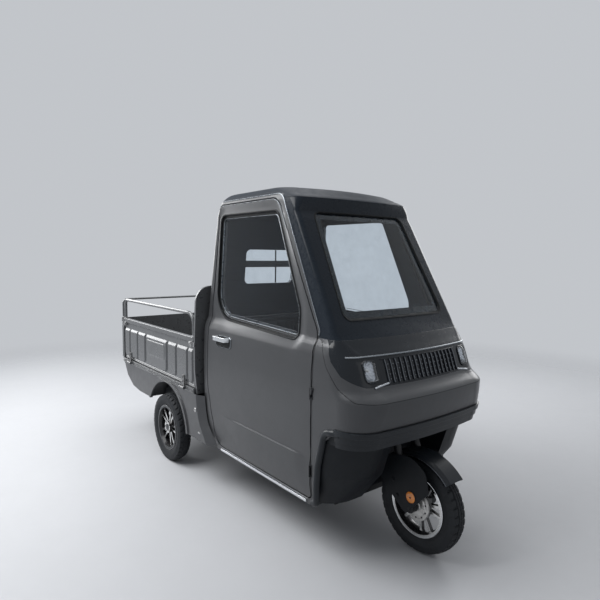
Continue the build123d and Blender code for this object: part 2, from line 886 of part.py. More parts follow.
# Tailgate, hinged along the rear edge of the floor
tail_half = bed_half_width
tail_panel_count = 5
tail_panel_width = 190.0
with BuildPart() as tailgate:
    add(rect_solid((tail_sheet_x, -tail_half, gate_bottom_z), (tail_inner_x, tail_half, gate_top_z)))
    add(rect_solid((tail_face_x, -tail_half, gate_rail_z), (tail_sheet_x, tail_half, gate_top_z)))
    pitch = 2 * tail_half / tail_panel_count
    for index in range(tail_panel_count):
        middle = (index - (tail_panel_count - 1) / 2) * pitch
        add(rect_solid(
            (tail_face_x, middle - tail_panel_width / 2, panel_bottom_z),
            (tail_sheet_x, middle + tail_panel_width / 2, panel_top_z),
        ))
    with BuildLine(Plane.YZ.offset(tail_inner_x - tail_thickness / 2)) as tail_tube_path:
        FilletPolyline(
            (-tail_half + rail_radius + 2, gate_top_z - 5),
            (-tail_half + rail_radius + 2, rail_top_z),
            (tail_half - rail_radius - 2, rail_top_z),
            (tail_half - rail_radius - 2, gate_top_z - 5),
            radius=34,
        )
    with BuildSketch(Plane(origin=tail_tube_path.line @ 0, z_dir=tail_tube_path.line % 0)):
        Circle(tail_rail_radius)
    sweep(path=tail_tube_path.line)
    for place in tail_hinges:
        add(place * knuckle_part)
        strap_y = place.position.Y
        add(rect_solid(
            (tail_hinge_x + 2, strap_y - knuckle_length / 2, hinge_z + hinge_radius - 3),
            (tail_face_x + 1, strap_y + knuckle_length / 2, panel_bottom_z + 40),
        ))

# Headboard between the bed and the cab, its upper corners rounded, with a raised rim
with BuildPart() as headboard:
    with BuildSketch(Plane.YZ.offset(bed_front_x)) as headboard_face:
        with BuildLine():
            FilletPolyline(
                (-headboard_half + 16, floor_bottom_z),
                (headboard_half - 16, floor_bottom_z),
                (headboard_half, floor_bottom_z + 160),
                (headboard_half, gate_top_z),
                (headboard_half - 16, headboard_top_z),
                (-headboard_half + 16, headboard_top_z),
                (-headboard_half, gate_top_z),
                (-headboard_half, floor_bottom_z + 160),
                radius=[0, 0, 200, 200, headboard_corner, headboard_corner, 200, 200],
                close=True,
            )
        make_face()
    extrude(amount=headboard_thickness)
    with BuildSketch(Plane.YZ.offset(bed_front_x)):
        offset(headboard_face.sketch_local, amount=-headboard_rim)
    extrude(amount=headboard_recess, mode=Mode.SUBTRACT)

# Skirts under the bed with the rear wheel arches and their flares
arch_x = rear_axle_x - 15
skirt_outline = [
    (bed_rear_x + 22, floor_bottom_z),
    (bed_rear_x + 100, 492),
    (bed_rear_x + 228, 424),
    (bed_rear_x + 380, skirt_rear_z),
    (arch_x, skirt_rear_z),
    (arch_x, skirt_bottom_z),
    (8, skirt_bottom_z),
    (-96, 430),
    (-134, floor_bottom_z),
]
skirt_y = bed_half_width - 2
with BuildPart() as skirt_right:
    add(side_solid((skirt_outline, [0] * 9), near=skirt_y - skirt_thickness, far=skirt_y))
    with BuildSketch(Plane.XZ.offset(skirt_y - skirt_thickness)):
        with Locations((arch_x, axle_z)):
            Circle(arch_radius + flare_width)
    extrude(amount=skirt_thickness + flare_proud)
    with BuildSketch(Plane.XZ.offset(skirt_y - skirt_thickness)):
        with Locations((arch_x, axle_z)):
            Circle(arch_radius)
    extrude(amount=3 * skirt_thickness, mode=Mode.SUBTRACT)
    behind = tail_x - 100
    add(rect_solid((behind, -900, -200), (200, 0, skirt_bottom_z)), mode=Mode.SUBTRACT)
    add(rect_solid((behind, -900, -200), (arch_x, 0, skirt_rear_z)), mode=Mode.SUBTRACT)
    add(rect_solid((behind, -900, floor_bottom_z), (200, 0, 900)), mode=Mode.SUBTRACT)

with BuildPart() as skirt_left:
    mirror(skirt_right.part, about=Plane.XZ)

# Rear lamp bar on the ends of the rails, with the bracket for a number plate
bar_front_x = bed_rear_x + 10
bar_rear_x = bar_front_x - 24
plate_width = 200.0
plate_height = 100.0
plate_hole_spacing = 140.0
plate_hole_radius = 3.3
plate_thickness = 4.0
lamp_bar_half = 500.0
tail_lamp_y = 400.0
tail_lamp_length = 150.0
tail_lamp_height = 70.0
tail_lamp_depth = 14.0
with BuildPart() as lamp_bar:
    add(rect_solid(
        (bar_rear_x, -lamp_bar_half, bed_rail_z - 50), (bar_front_x, lamp_bar_half, bed_rail_z + 40)
    ))
    plate_low = (bar_rear_x, -plate_width / 2, bed_rail_z - 50 - plate_height)
    plate_high = (bar_rear_x + plate_thickness, plate_width / 2, bed_rail_z - 50)
    add(rect_solid(plate_low, plate_high))
    plate_middle_z = bed_rail_z - 50 - plate_height / 2
    with BuildSketch(Plane.YZ.offset(bar_rear_x - 1)):
        with Locations((plate_hole_spacing / 2, plate_middle_z), (-plate_hole_spacing / 2, plate_middle_z)):
            Circle(plate_hole_radius)
    extrude(amount=plate_thickness + 2, mode=Mode.SUBTRACT)

with BuildPart() as tail_lamps:
    for y in (-tail_lamp_y, tail_lamp_y):
        add(rect_solid(
            (bar_rear_x - tail_lamp_depth, y - tail_lamp_length / 2, bed_rail_z - tail_lamp_height / 2),
            (bar_rear_x, y + tail_lamp_length / 2, bed_rail_z + tail_lamp_height / 2),
        ))

# Rear axle with its motor housing, and the leaf springs that carry the rails
backing_radius = 84.0
drum_radius = 78.0
drum_inner = rim_width / 2 + 6
axle_end = rear_half_track - drum_inner - 5
with BuildPart() as rear_axle:
    with Locations((rear_axle_x, 0, axle_z)):
        Cylinder(axle_tube_radius, 2 * axle_end, rotation=(90, 0, 0))
        Cylinder(spindle_radius, 2 * (rear_half_track + 30), rotation=(90, 0, 0))
        with Locations((0, 40, 0)):
            Cylinder(105, 150, rotation=(90, 0, 0))
        with Locations((70, -90, 10)):
            Cylinder(78, 190, rotation=(90, 0, 0))
        for side in (-1, 1):
            with Locations((0, side * (axle_end - 4), 0)):
                Cylinder(backing_radius, 8, rotation=(90, 0, 0))
    for side in (-1, 1):
        add(rect_solid(
            (rear_axle_x - 40, side * rail_half_spacing - 25, axle_z),
            (rear_axle_x + 40, side * rail_half_spacing + 25, axle_z + axle_tube_radius),
        ))

leaf_width = 50.0
leaf_thickness = 22.0
leaf_half_length = 330.0
leaf_rise = 70.0
leaf_seat_z = axle_z + axle_tube_radius - 6
with BuildPart() as leaf_springs:
    for side in (-1, 1):
        with BuildSketch(Plane.XZ.offset(-side * rail_half_spacing - leaf_width / 2)):
            with BuildLine():
                left_x = rear_axle_x - leaf_half_length
                right_x = rear_axle_x + leaf_half_length
                end_z = leaf_seat_z + leaf_rise
                ThreePointArc((left_x, end_z), (rear_axle_x, leaf_seat_z), (right_x, end_z))
                Line((right_x, end_z), (right_x, end_z + leaf_thickness))
                ThreePointArc(
                    (right_x, end_z + leaf_thickness),
                    (rear_axle_x, leaf_seat_z + leaf_thickness),
                    (left_x, end_z + leaf_thickness),
                )
                Line((left_x, end_z + leaf_thickness), (left_x, end_z))
            make_face()
        extrude(amount=leaf_width)
        for x in (left_x, right_x):
            add(rect_solid(
                (x - 14, side * rail_half_spacing - 16, end_z - 4),
                (x + 14, side * rail_half_spacing + 16, bed_rail_z - rail_height / 2),
            ))
    add(rear_axle.part, mode=Mode.SUBTRACT)
    add(chassis.part, mode=Mode.SUBTRACT)


def wheel_rim(bore_radius, bore_end, drum_start, drum_end, spoke_start, spoke_end, hub_start, hub_end):
    """Cast wheel about the Y axis at the origin, its outer side towards -Y. Each start and end is
    a place along Y; the bore runs from the inner side as far as bore_end."""
    half = rim_width / 2
    with BuildPart() as rim:
        with BuildSketch(Plane.YZ):
            with BuildLine():
                Polyline(
                    (-half, rim_flange_radius),
                    (-half + 5, rim_flange_radius),
                    (-half + 6, rim_bead_radius),
                    (-14, rim_bead_radius),
                    (-9, rim_well_radius + 6),
                    (9, rim_well_radius + 6),
                    (14, rim_bead_radius),
                    (half - 6, rim_bead_radius),
                    (half - 5, rim_flange_radius),
                    (half, rim_flange_radius),
                    (half, rim_bead_radius - 7),
                    (12, rim_well_radius),
                    (-12, rim_well_radius),
                    (-half, rim_bead_radius - 7),
                    close=True,
                )
            make_face()
        revolve(axis=Axis.Y)
        with BuildSketch(Plane.XZ.offset(-hub_start)):
            Circle(hub_radius)
        extrude(amount=hub_start - hub_end)
        with BuildSketch(Plane.XZ.offset(-spoke_start)):
            with PolarLocations(0, spoke_count):
                for lean in (-1, 1):
                    with Locations(Location((0, 0, 0), (0, 0, lean * 11))):
                        with Locations((hub_radius - 8 + (rim_well_radius + 12 - hub_radius) / 2, lean * 3)):
                            Rectangle(rim_well_radius + 12 - hub_radius, 15)
        extrude(amount=spoke_start - spoke_end)
        with BuildSketch(Plane.XZ.offset(-drum_start)):
            Circle(drum_radius)
        extrude(amount=drum_start - drum_end)
        with BuildSketch(Plane.XZ.offset(-tyre_width)):
            Circle(bore_radius)
        extrude(amount=tyre_width - bore_end, mode=Mode.SUBTRACT)
    return rim.part


def wheel_tyre():
    """Road tyre about the Y axis at the origin."""
    half = tyre_width / 2
    bead = rim_width / 2 - 6
    side_z = rim_flange_radius + 34
    shoulder_z = wheel_radius - 9
    with BuildPart() as tyre:
        with BuildSketch(Plane.YZ):
            with BuildLine():
                Line((-bead, rim_bead_radius), (bead, rim_bead_radius))
                Line((bead, rim_bead_radius), (bead + 1, rim_flange_radius + 1))
                ThreePointArc(
                    (bead + 1, rim_flange_radius + 1), (half, side_z), (half - 8, shoulder_z)
                )
                ThreePointArc((half - 8, shoulder_z), (0, wheel_radius), (-half + 8, shoulder_z))
                ThreePointArc(
                    (-half + 8, shoulder_z), (-half, side_z), (-bead - 1, rim_flange_radius + 1)
                )
                Line((-bead - 1, rim_flange_radius + 1), (-bead, rim_bead_radius))
            make_face()
        revolve(axis=Axis.Y)
    return tyre.part


rear_rim = wheel_rim(spindle_radius + running_gap, -31, drum_inner, 6, 6, -16, 8, -36)
front_rim_solid = wheel_rim(axle_pin_radius + running_gap, -tyre_width, -10, -38, 10, -12, 38, -38)
tyre_solid = wheel_tyre()
front_place = Location((front_axle_x, 0, axle_z))
right_place = Location((rear_axle_x, -rear_half_track, axle_z))

with BuildPart() as front_rim:
    add(front_place * front_rim_solid)

with BuildPart() as front_tyre:
    add(front_place * tyre_solid)

with BuildPart() as rear_rim_right:
    add(right_place * rear_rim)

with BuildPart() as rear_rim_left:
    mirror(rear_rim_right.part, about=Plane.XZ)

with BuildPart() as rear_tyre_right:
    add(right_place * tyre_solid)

with BuildPart() as rear_tyre_left:
    mirror(rear_tyre_right.part, about=Plane.XZ)

# Front fork: steerer, crown, two legs and the axle pin
crown_length = 86.0
crown_half = 98.0
with BuildPart() as fork:
    add(steer_cylinder(steerer_radius, crown_height, bar_height - crown_height - 20))
    with BuildSketch(steer_plane(crown_height)):
        with Locations((fork_offset / 2, 0)):
            RectangleRounded(crown_length, 2 * crown_half, 24)
    extrude(amount=crown_thickness)
    with BuildSketch(steer_plane(0)):
        with Locations((fork_offset, leg_half_spacing), (fork_offset, -leg_half_spacing)):
            Circle(leg_radius)
    extrude(amount=crown_height)
    for side in (-1, 1):
        with Locations((front_axle_x, side * leg_half_spacing, axle_z)):
            Cylinder(leg_radius + 5, 2 * leg_radius - 4, rotation=(90, 0, 0))
    with Locations((front_axle_x, 0, axle_z)):
        Cylinder(axle_pin_radius, 2 * (leg_half_spacing + leg_radius + 4), rotation=(90, 0, 0))

with BuildPart() as handlebar:
    with BuildLine(steer_plane(bar_height)) as bar_path:
        FilletPolyline(
            (-bar_sweep_back, bar_half_width, 34),
            (-bar_sweep_back + 26, 150, 34),
            (0, 70, 0),
            (0, -70, 0),
            (-bar_sweep_back + 26, -150, 34),
            (-bar_sweep_back, -bar_half_width, 34),
            radius=30,
        )
    with BuildSketch(Plane(origin=bar_path.line @ 0, z_dir=bar_path.line % 0)):
        Circle(bar_radius)
    sweep(path=bar_path.line)
    with BuildSketch(steer_plane(bar_height - 60)):
        RectangleRounded(62, 90, 14)
    extrude(amount=76)
    for grip_side in (0, 1):
        inward = (bar_path.line % grip_side) * (1 - 2 * grip_side)
        grip_plane = Plane(origin=bar_path.line @ grip_side, z_dir=inward)
        with BuildSketch(grip_plane):
            Circle(bar_radius + 6)
        extrude(amount=118)
    add(fork.part, mode=Mode.SUBTRACT)

with BuildPart() as instrument_pod:
    with BuildSketch(steer_plane(bar_height + 16)):
        with Locations((16, 0)):
            RectangleRounded(96, 170, 26)
    extrude(amount=44)
    chamfer(instrument_pod.faces().sort_by(Axis.Z)[-1].edges(), 8)
    add(handlebar.part, mode=Mode.SUBTRACT)

# Front fender over the tyre, and the plates that close the gap beside the fork
fender_start_deg = 42.0
fender_end_deg = 136.0
fender_lip = 24.0
with BuildPart() as fender_ring:
    inner = fender_radius
    outer = fender_radius + fender_thickness
    half = fender_half_width
    with BuildSketch(Plane.YZ):
        with BuildLine():
            Polyline(
                (-half, outer - fender_lip),
                (-half, outer - 10),
                (-half + 14, outer),
                (half - 14, outer),
                (half, outer - 10),
                (half, outer - fender_lip),
                (half - 4, outer - fender_lip),
                (half - 4, inner - 9),
                (half - 15, inner),
                (-half + 15, inner),
                (-half + 4, inner - 9),
                (-half + 4, outer - fender_lip),
                close=True,
            )
        make_face()
    revolve(axis=Axis.Y, revolution_arc=fender_end_deg - fender_start_deg)

with BuildPart() as front_fender:
    add(front_place * Location((0, 0, 0), (0, 90 - fender_end_deg, 0)) * fender_ring.part)
    add(fork.part, mode=Mode.SUBTRACT)

cover_start_y = 94.0
cover_thickness = 5.0
cover_outline = (
    [
        (front_axle_x - 22, axle_z - 38),
        (front_axle_x + 122, axle_z + 122),
        (front_axle_x + 100, axle_z + 220),
        (front_axle_x, axle_z + 280),
        (front_axle_x - 140, axle_z + 250),
        (front_axle_x - 210, axle_z + 110),
    ],
    [30, 20, 60, 120, 60, 30],
)
with BuildPart() as fork_covers:
    add(side_solid(cover_outline, near=cover_start_y, far=cover_start_y + cover_thickness))
    mirror(about=Plane.XZ)
    add(fork.part, mode=Mode.SUBTRACT)

pieces = {
    "side_frame_right": side_frame_right,
    "side_frame_left": side_frame_left,
    "door_right": door_right,
    "door_left": door_left,
    "door_glass_right": door_glass_right,
    "door_glass_left": door_glass_left,
    "door_handle_right": door_handle_right,
    "door_handle_left": door_handle_left,
    "rear_wall": rear_wall,
    "rear_window": rear_window,
    "roof": roof,
    "screen_frame": screen_frame,
    "windscreen": windscreen,
    "headlamps": headlamps,
    "cowl_panel": cowl_panel,
    "nose_band": nose_band,
    "front_shell": front_shell,
    "bumper": bumper,
    "side_mouldings": side_mouldings,
    "sill_trims": sill_trims,
    "footwell_tub": footwell_tub,
    "chassis_frame": chassis,
    "cab_floor": cab_floor,
    "battery_case": battery_case,
    "seat_cushion": seat_cushion,
    "seat_back": seat_back,
    "dashboard": dashboard,
    "bed_floor": bed_floor,
    "side_gate_right": side_gate_right,
    "side_gate_left": side_gate_left,
    "tailgate": tailgate,
    "headboard": headboard,
    "skirt_right": skirt_right,
    "skirt_left": skirt_left,
    "lamp_bar": lamp_bar,
    "tail_lamps": tail_lamps,
    "rear_axle": rear_axle,
    "leaf_springs": leaf_springs,
    "front_rim": front_rim,
    "front_tyre": front_tyre,
    "rear_rim_right": rear_rim_right,
    "rear_rim_left": rear_rim_left,
    "rear_tyre_right": rear_tyre_right,
    "rear_tyre_left": rear_tyre_left,
    "fork": fork,
    "handlebar": handlebar,
    "instrument_pod": instrument_pod,
    "front_fender": front_fender,
    "fork_covers": fork_covers,
}
# The origin stays under the middle of the overall box, whatever the length
centring = Location((half_length - nose_x, 0, 0))
for label, piece in pieces.items():
    centred = piece.part.moved(centring)
    centred.label = label
    export_step(centred, f"parts/{label}.step")
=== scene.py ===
import json
from math import atan2, ceil, cos, pi, radians, sin, sqrt, tan

import bmesh
import bpy
import numpy as np
from mathutils import Matrix, Vector

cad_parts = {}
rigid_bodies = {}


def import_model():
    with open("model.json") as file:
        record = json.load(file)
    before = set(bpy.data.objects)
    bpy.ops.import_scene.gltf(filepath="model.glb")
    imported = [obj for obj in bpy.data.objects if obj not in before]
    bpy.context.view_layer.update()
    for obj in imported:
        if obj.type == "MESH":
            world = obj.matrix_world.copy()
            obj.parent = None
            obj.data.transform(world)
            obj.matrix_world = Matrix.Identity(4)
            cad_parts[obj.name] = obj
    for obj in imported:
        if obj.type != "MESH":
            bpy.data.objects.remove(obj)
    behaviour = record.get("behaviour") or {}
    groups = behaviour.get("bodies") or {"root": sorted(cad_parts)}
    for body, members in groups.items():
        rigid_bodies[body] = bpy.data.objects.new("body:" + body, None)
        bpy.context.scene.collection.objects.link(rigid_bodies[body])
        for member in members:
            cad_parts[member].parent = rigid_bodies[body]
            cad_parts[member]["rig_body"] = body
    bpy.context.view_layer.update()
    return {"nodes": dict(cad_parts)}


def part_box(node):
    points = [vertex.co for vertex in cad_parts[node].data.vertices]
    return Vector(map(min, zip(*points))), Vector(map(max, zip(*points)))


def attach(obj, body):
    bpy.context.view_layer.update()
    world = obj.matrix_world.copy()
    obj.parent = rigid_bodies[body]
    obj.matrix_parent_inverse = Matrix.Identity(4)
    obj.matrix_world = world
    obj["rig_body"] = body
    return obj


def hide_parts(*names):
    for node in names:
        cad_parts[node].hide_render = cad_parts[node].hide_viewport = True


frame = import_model()
nodes = frame["nodes"]

# Camera, solved from the photograph
camera_place = (3.0061, -2.1278, 1.5439)
camera_right = (0.61591, 0.78777, 0.00837)
camera_up = (-0.07141, 0.04525, 0.99642)
camera_look = (-0.78457, 0.61430, -0.08413)
camera_lens = 30.917

# Measures repeated from the CAD source
front_axle_x = 1.340
rear_axle_x = -0.605
axle_z = 0.250
rear_half_track = 0.530
rake = radians(20)
bed_half_width = 0.562
gate_rear_x = -1.512
gate_front_x = -0.171
side_hinge_xs = (-1.362, -0.321)
tail_hinge_ys = (-0.412, 0.412)

# Cab sections from the sill to the roof edge
# columns: height, rear x, front x on the centre line, front crown, front corner radius, half width
cab_rows = np.array([
    (0.270, 0.030, 1.250, 0.020, 0.120, 0.502),
    (0.430, -0.080, 1.290, 0.020, 0.150, 0.518),
    (0.590, -0.121, 1.388, 0.020, 0.165, 0.519),
    (0.725, -0.128, 1.408, 0.020, 0.155, 0.519),
    (0.859, -0.131, 1.427, 0.014, 0.180, 0.518),
    (0.915, -0.132, 1.368, 0.022, 0.160, 0.516),
    (1.058, -0.133, 1.308, 0.030, 0.140, 0.508),
    (1.100, -0.134, 1.268, 0.034, 0.090, 0.497),
    (1.140, -0.131, 1.232, 0.036, 0.045, 0.480),
    (1.222, -0.124, 1.162, 0.016, 0.032, 0.474),
    (1.790, -0.050, 0.848, 0.016, 0.032, 0.452),
    (1.861, -0.022, 0.846, 0.026, 0.060, 0.446),
    (1.889, -0.006, 0.806, 0.034, 0.080, 0.440),
])
# Two more rows keep the windscreen and the pillars straight between their ends
straight_rows = [1.262, 1.752]
# The roof's seam lies lower on the screen frame, up to front_seam_x, than on the sides
front_seam_z, side_seam_z = 1.861, 1.889
front_seam_x, front_seam_lean = 0.692, 0.019
# The roof above its edge, crowned
roof_rows = np.array([
    (1.932, 0.060, 0.716, 0.044, 0.100, 0.404),
    (1.9495, 0.190, 0.560, 0.044, 0.110, 0.300),
    (1.9550, 0.290, 0.470, 0.030, 0.060, 0.160),
    (1.9558, 0.340, 0.420, 0.010, 0.020, 0.060),
])

window_corners = [(0.024, 1.802), (0.650, 1.798), (0.886, 1.268), (0.886, 1.108), (-0.002, 1.146)]
window_radii = [0.052, 0.052, 0.150, 0.038, 0.180]


def smooth_step(t):
    """0 to 1 with flat ends, for arrays and numbers."""
    t = np.clip(t, 0.0, 1.0)
    return t * t * (3 - 2 * t)


def cubic(x, xs, ys):
    """Smooth curve through a table that doesn't overshoot it."""
    h = np.diff(xs)
    slope = np.diff(ys) / h
    m = np.zeros(len(xs))
    m[0], m[-1] = slope[0], slope[-1]
    for i in range(1, len(xs) - 1):
        if slope[i - 1] * slope[i] > 0:
            w1, w2 = 2 * h[i] + h[i - 1], h[i] + 2 * h[i - 1]
            m[i] = (w1 + w2) / (w1 / slope[i - 1] + w2 / slope[i])
    x = np.clip(x, xs[0], xs[-1])
    i = np.clip(np.searchsorted(xs, x, side="right") - 1, 0, len(xs) - 2)
    t = (x - xs[i]) / h[i]
    a = (1 + 2 * t) * (1 - t) ** 2 * ys[i] + t * (1 - t) ** 2 * h[i] * m[i]
    b = t * t * (3 - 2 * t) * ys[i + 1] - t * t * (1 - t) * h[i] * m[i + 1]
    return a + b


extra = np.array([[z] + [np.interp(z, cab_rows[:, 0], cab_rows[:, k]) for k in range(1, 6)] for z in straight_rows])
soft_rows = np.vstack([cab_rows, extra])
soft_rows = soft_rows[np.argsort(soft_rows[:, 0])]


def hard_section(z):
    return [np.interp(z, cab_rows[:, 0], cab_rows[:, k]) for k in range(1, 6)]


def soft_section(z):
    """Rear x, front x, crown, corner radius and half width of the smooth cab at a height."""
    return [cubic(z, soft_rows[:, 0], soft_rows[:, k]) for k in range(1, 6)]


def arc_radius(crown, chord):
    return (crown * crown + chord * chord) / (2 * crown)


def soften(co):
    """Moves points from the CAD cab's ruled sections onto the smooth ones."""
    x, y, z = co.T
    inside = (z > 0.26) & (z < 1.93)
    side = np.abs(y)
    rear0, front0, crown0, r0, half0 = hard_section(z)
    rear1, front1, crown1, r1, half1 = soft_section(z)
    xs0, xs1 = front0 - crown0 - r0, front1 - crown1 - r1
    h0, h1 = half0 - r0, half1 - r1
    middle = (rear0 + xs0) / 2
    share = smooth_step((x - middle) / (xs0 - middle))
    back = smooth_step((middle - x) / (middle - rear0))
    new_x = x + share * (xs1 - xs0) + back * (rear1 - rear0)
    new_y = side + (half1 - half0) * smooth_step(side / 0.3)
    corner = (x > xs0) & (side > h0)
    dx, dy = x - xs0, side - h0
    rho = np.hypot(dx, dy)
    grown = np.maximum(rho + r1 - r0, 0.0) / np.maximum(rho, 1e-6)
    new_x = np.where(corner, xs1 + dx * grown, new_x)
    new_y = np.where(corner, h1 + dy * grown, new_y)
    front = (x > xs0) & (side <= h0)
    big0, big1 = arc_radius(crown0, h0), arc_radius(crown1, h1)
    t = side / h0
    arc0 = front0 - big0 + np.sqrt(big0 ** 2 - (t * h0) ** 2)
    arc1 = front1 - big1 + np.sqrt(big1 ** 2 - (t * h1) ** 2)
    new_x = np.where(front, x + arc1 - arc0, new_x)
    new_y = np.where(front, t * h1, new_y)
    new_x = np.where(inside, new_x, x)
    new_y = np.where(inside, new_y, side)
    return np.column_stack([new_x, np.sign(y) * new_y, z])


def fillet(points, radii, step=0.005, close=True):
    """2-D outline with rounded corners."""
    made = []
    count = len(points)
    for i, (p, r) in enumerate(zip(points, radii)):
        if r <= 0 or (not close and i in (0, count - 1)):
            made.append(tuple(p))
            continue
        a, b = Vector(points[i - 1]) - Vector(p), Vector(points[(i + 1) % count]) - Vector(p)
        a.normalize()
        b.normalize()
        half = a.angle(b) / 2
        centre = Vector(p) + (a + b).normalized() * (r / sin(half))
        start, end = Vector(p) + a * (r / tan(half)), Vector(p) + b * (r / tan(half))
        first = atan2(start.y - centre.y, start.x - centre.x)
        turn = atan2(end.y - centre.y, end.x - centre.x) - first
        turn = (turn + pi) % (2 * pi) - pi
        steps = max(3, ceil(abs(turn) * r / step))
        for k in range(steps + 1):
            angle = first + turn * k / steps
            made.append((centre.x + r * cos(angle), centre.y + r * sin(angle)))
    return made


def resample(points, count, close=True):
    """The same line with evenly spaced points."""
    line = np.array(list(points) + ([points[0]] if close else []), float)
    run = np.concatenate([[0], np.cumsum(np.linalg.norm(np.diff(line, axis=0), axis=1))])
    at = np.linspace(0, run[-1], count + 1)[:count] if close else np.linspace(0, run[-1], count)
    return np.column_stack([np.interp(at, run, line[:, k]) for k in range(line.shape[1])])


def offset_loop(points, amount):
    """A closed, evenly spaced loop moved outwards by amount."""
    p = np.asarray(points, float)
    d = np.roll(p, -1, 0) - np.roll(p, 1, 0)
    n = np.column_stack([d[:, 1], -d[:, 0]])
    n /= np.linalg.norm(n, axis=1)[:, None]
    area = np.sum(p[:, 0] * np.roll(p[:, 1], -1) - p[:, 1] * np.roll(p[:, 0], -1))
    return p + n * (amount if area > 0 else -amount)


window_loop = resample(fillet(window_corners, window_radii), 300)


def window_distance(x, z):
    """How far points of the side view lie outside the window's outline, or 0 inside it."""
    a, b = window_loop, np.roll(window_loop, -1, 0)
    q = np.column_stack([np.ravel(x), np.ravel(z)])
    best = np.full(len(q), 9.0)
    inside = np.zeros(len(q), bool)
    for p0, p1 in zip(a, b):
        d = p1 - p0
        t = np.clip(((q - p0) @ d) / (d @ d), 0, 1)
        best = np.minimum(best, np.linalg.norm(q - p0 - t[:, None] * d, axis=1))
        crosses = (p0[1] > q[:, 1]) != (p1[1] > q[:, 1])
        reach = (p1[0] - p0[0]) * (q[:, 1] - p0[1]) / (p1[1] - p0[1] + 1e-12) + p0[0]
        inside ^= crosses & (q[:, 0] < reach)
    return np.where(inside, 0.0, best).reshape(np.shape(x))


# Pressings in the door and the frame round it
window_dish = 0.007
shelf_rise = 0.0068
shelf_z = 0.516
shelf_fall = 0.013


def press(x, z):
    """How far the side's sheet is pressed inwards at a place."""
    dish = window_dish * (1 - smooth_step((window_distance(x, z) - 0.018) / 0.052))
    fade = smooth_step((x - 0.12) / 0.25) * smooth_step((1.03 - x) / 0.12)
    shelf = shelf_rise * (1 - smooth_step((z - shelf_z) / shelf_fall)) * smooth_step((z - 0.32) / 0.17)
    return dish - fade * shelf


def side_y(x, z):
    """Half width of the smooth cab at a place in the side view."""
    rear, front, crown, r, half = soft_section(z)
    over = np.clip(x - (front - crown - r), 0, r)
    return half - r + np.sqrt(r * r - over * over)


def front_x(y, z):
    """How far forward the smooth cab reaches at a place in the front view."""
    rear, front, crown, r, half = soft_section(z)
    side, h = np.abs(y), half - r
    big = arc_radius(crown, h)
    flat = front - big + np.sqrt(big * big - np.minimum(side, h) ** 2)
    over = np.clip(side - h, 0, r)
    return np.where(side <= h, flat, front - crown - r + np.sqrt(r * r - over * over))


def on_side(x, z, out=0.0, side=-1):
    """Point on the cab's side, moved outwards."""
    return Vector((x, side * (float(side_y(x, z)) - float(press(np.array([x]), np.array([z]))[0]) + out), z))


def on_front(y, z, out=0.0):
    """Point on the cab's front, moved outwards along the surface's normal."""
    return Vector((float(front_x(y, z)), y, z)) + front_normal(y, z) * out


def front_normal(y, z):
    e = 0.002
    dy = (float(front_x(y + e, z)) - float(front_x(y - e, z))) / (2 * e)
    dz = (float(front_x(y, z + e)) - float(front_x(y, z - e))) / (2 * e)
    return Vector((1, -dy, -dz)).normalized()


def side_normal(x, z, side=-1):
    e = 0.004
    dz = (float(side_y(x, z + e)) - float(side_y(x, z - e))) / (2 * e)
    dx = (float(side_y(x + e, z)) - float(side_y(x - e, z))) / (2 * e)
    return Vector((-dx, side, -dz)).normalized()


# Materials


dust_colour = (0.13, 0.125, 0.12, 1)
machined_colour = (0.74, 0.74, 0.73, 1)


def node_maker(material):
    tree = material.node_tree

    def make(kind, **inputs):
        made = tree.nodes.new(kind)
        for key, value in inputs.items():
            key = key.replace("_", " ")
            if isinstance(value, bpy.types.NodeSocket):
                tree.links.new(value, made.inputs[key])
            else:
                made.inputs[key].default_value = value
        return made

    return make, tree.links.new


def tint(color, factor):
    return tuple(min(1.0, c * factor) for c in color) + (1.0,)


def ramp(make, fac, stops):
    made = make("ShaderNodeValToRGB", Fac=fac)
    while len(made.color_ramp.elements) < len(stops):
        made.color_ramp.elements.new(0.5)
    for element, (place, color) in zip(made.color_ramp.elements, stops):
        element.position = place
        element.color = color
    return made.outputs["Color"]


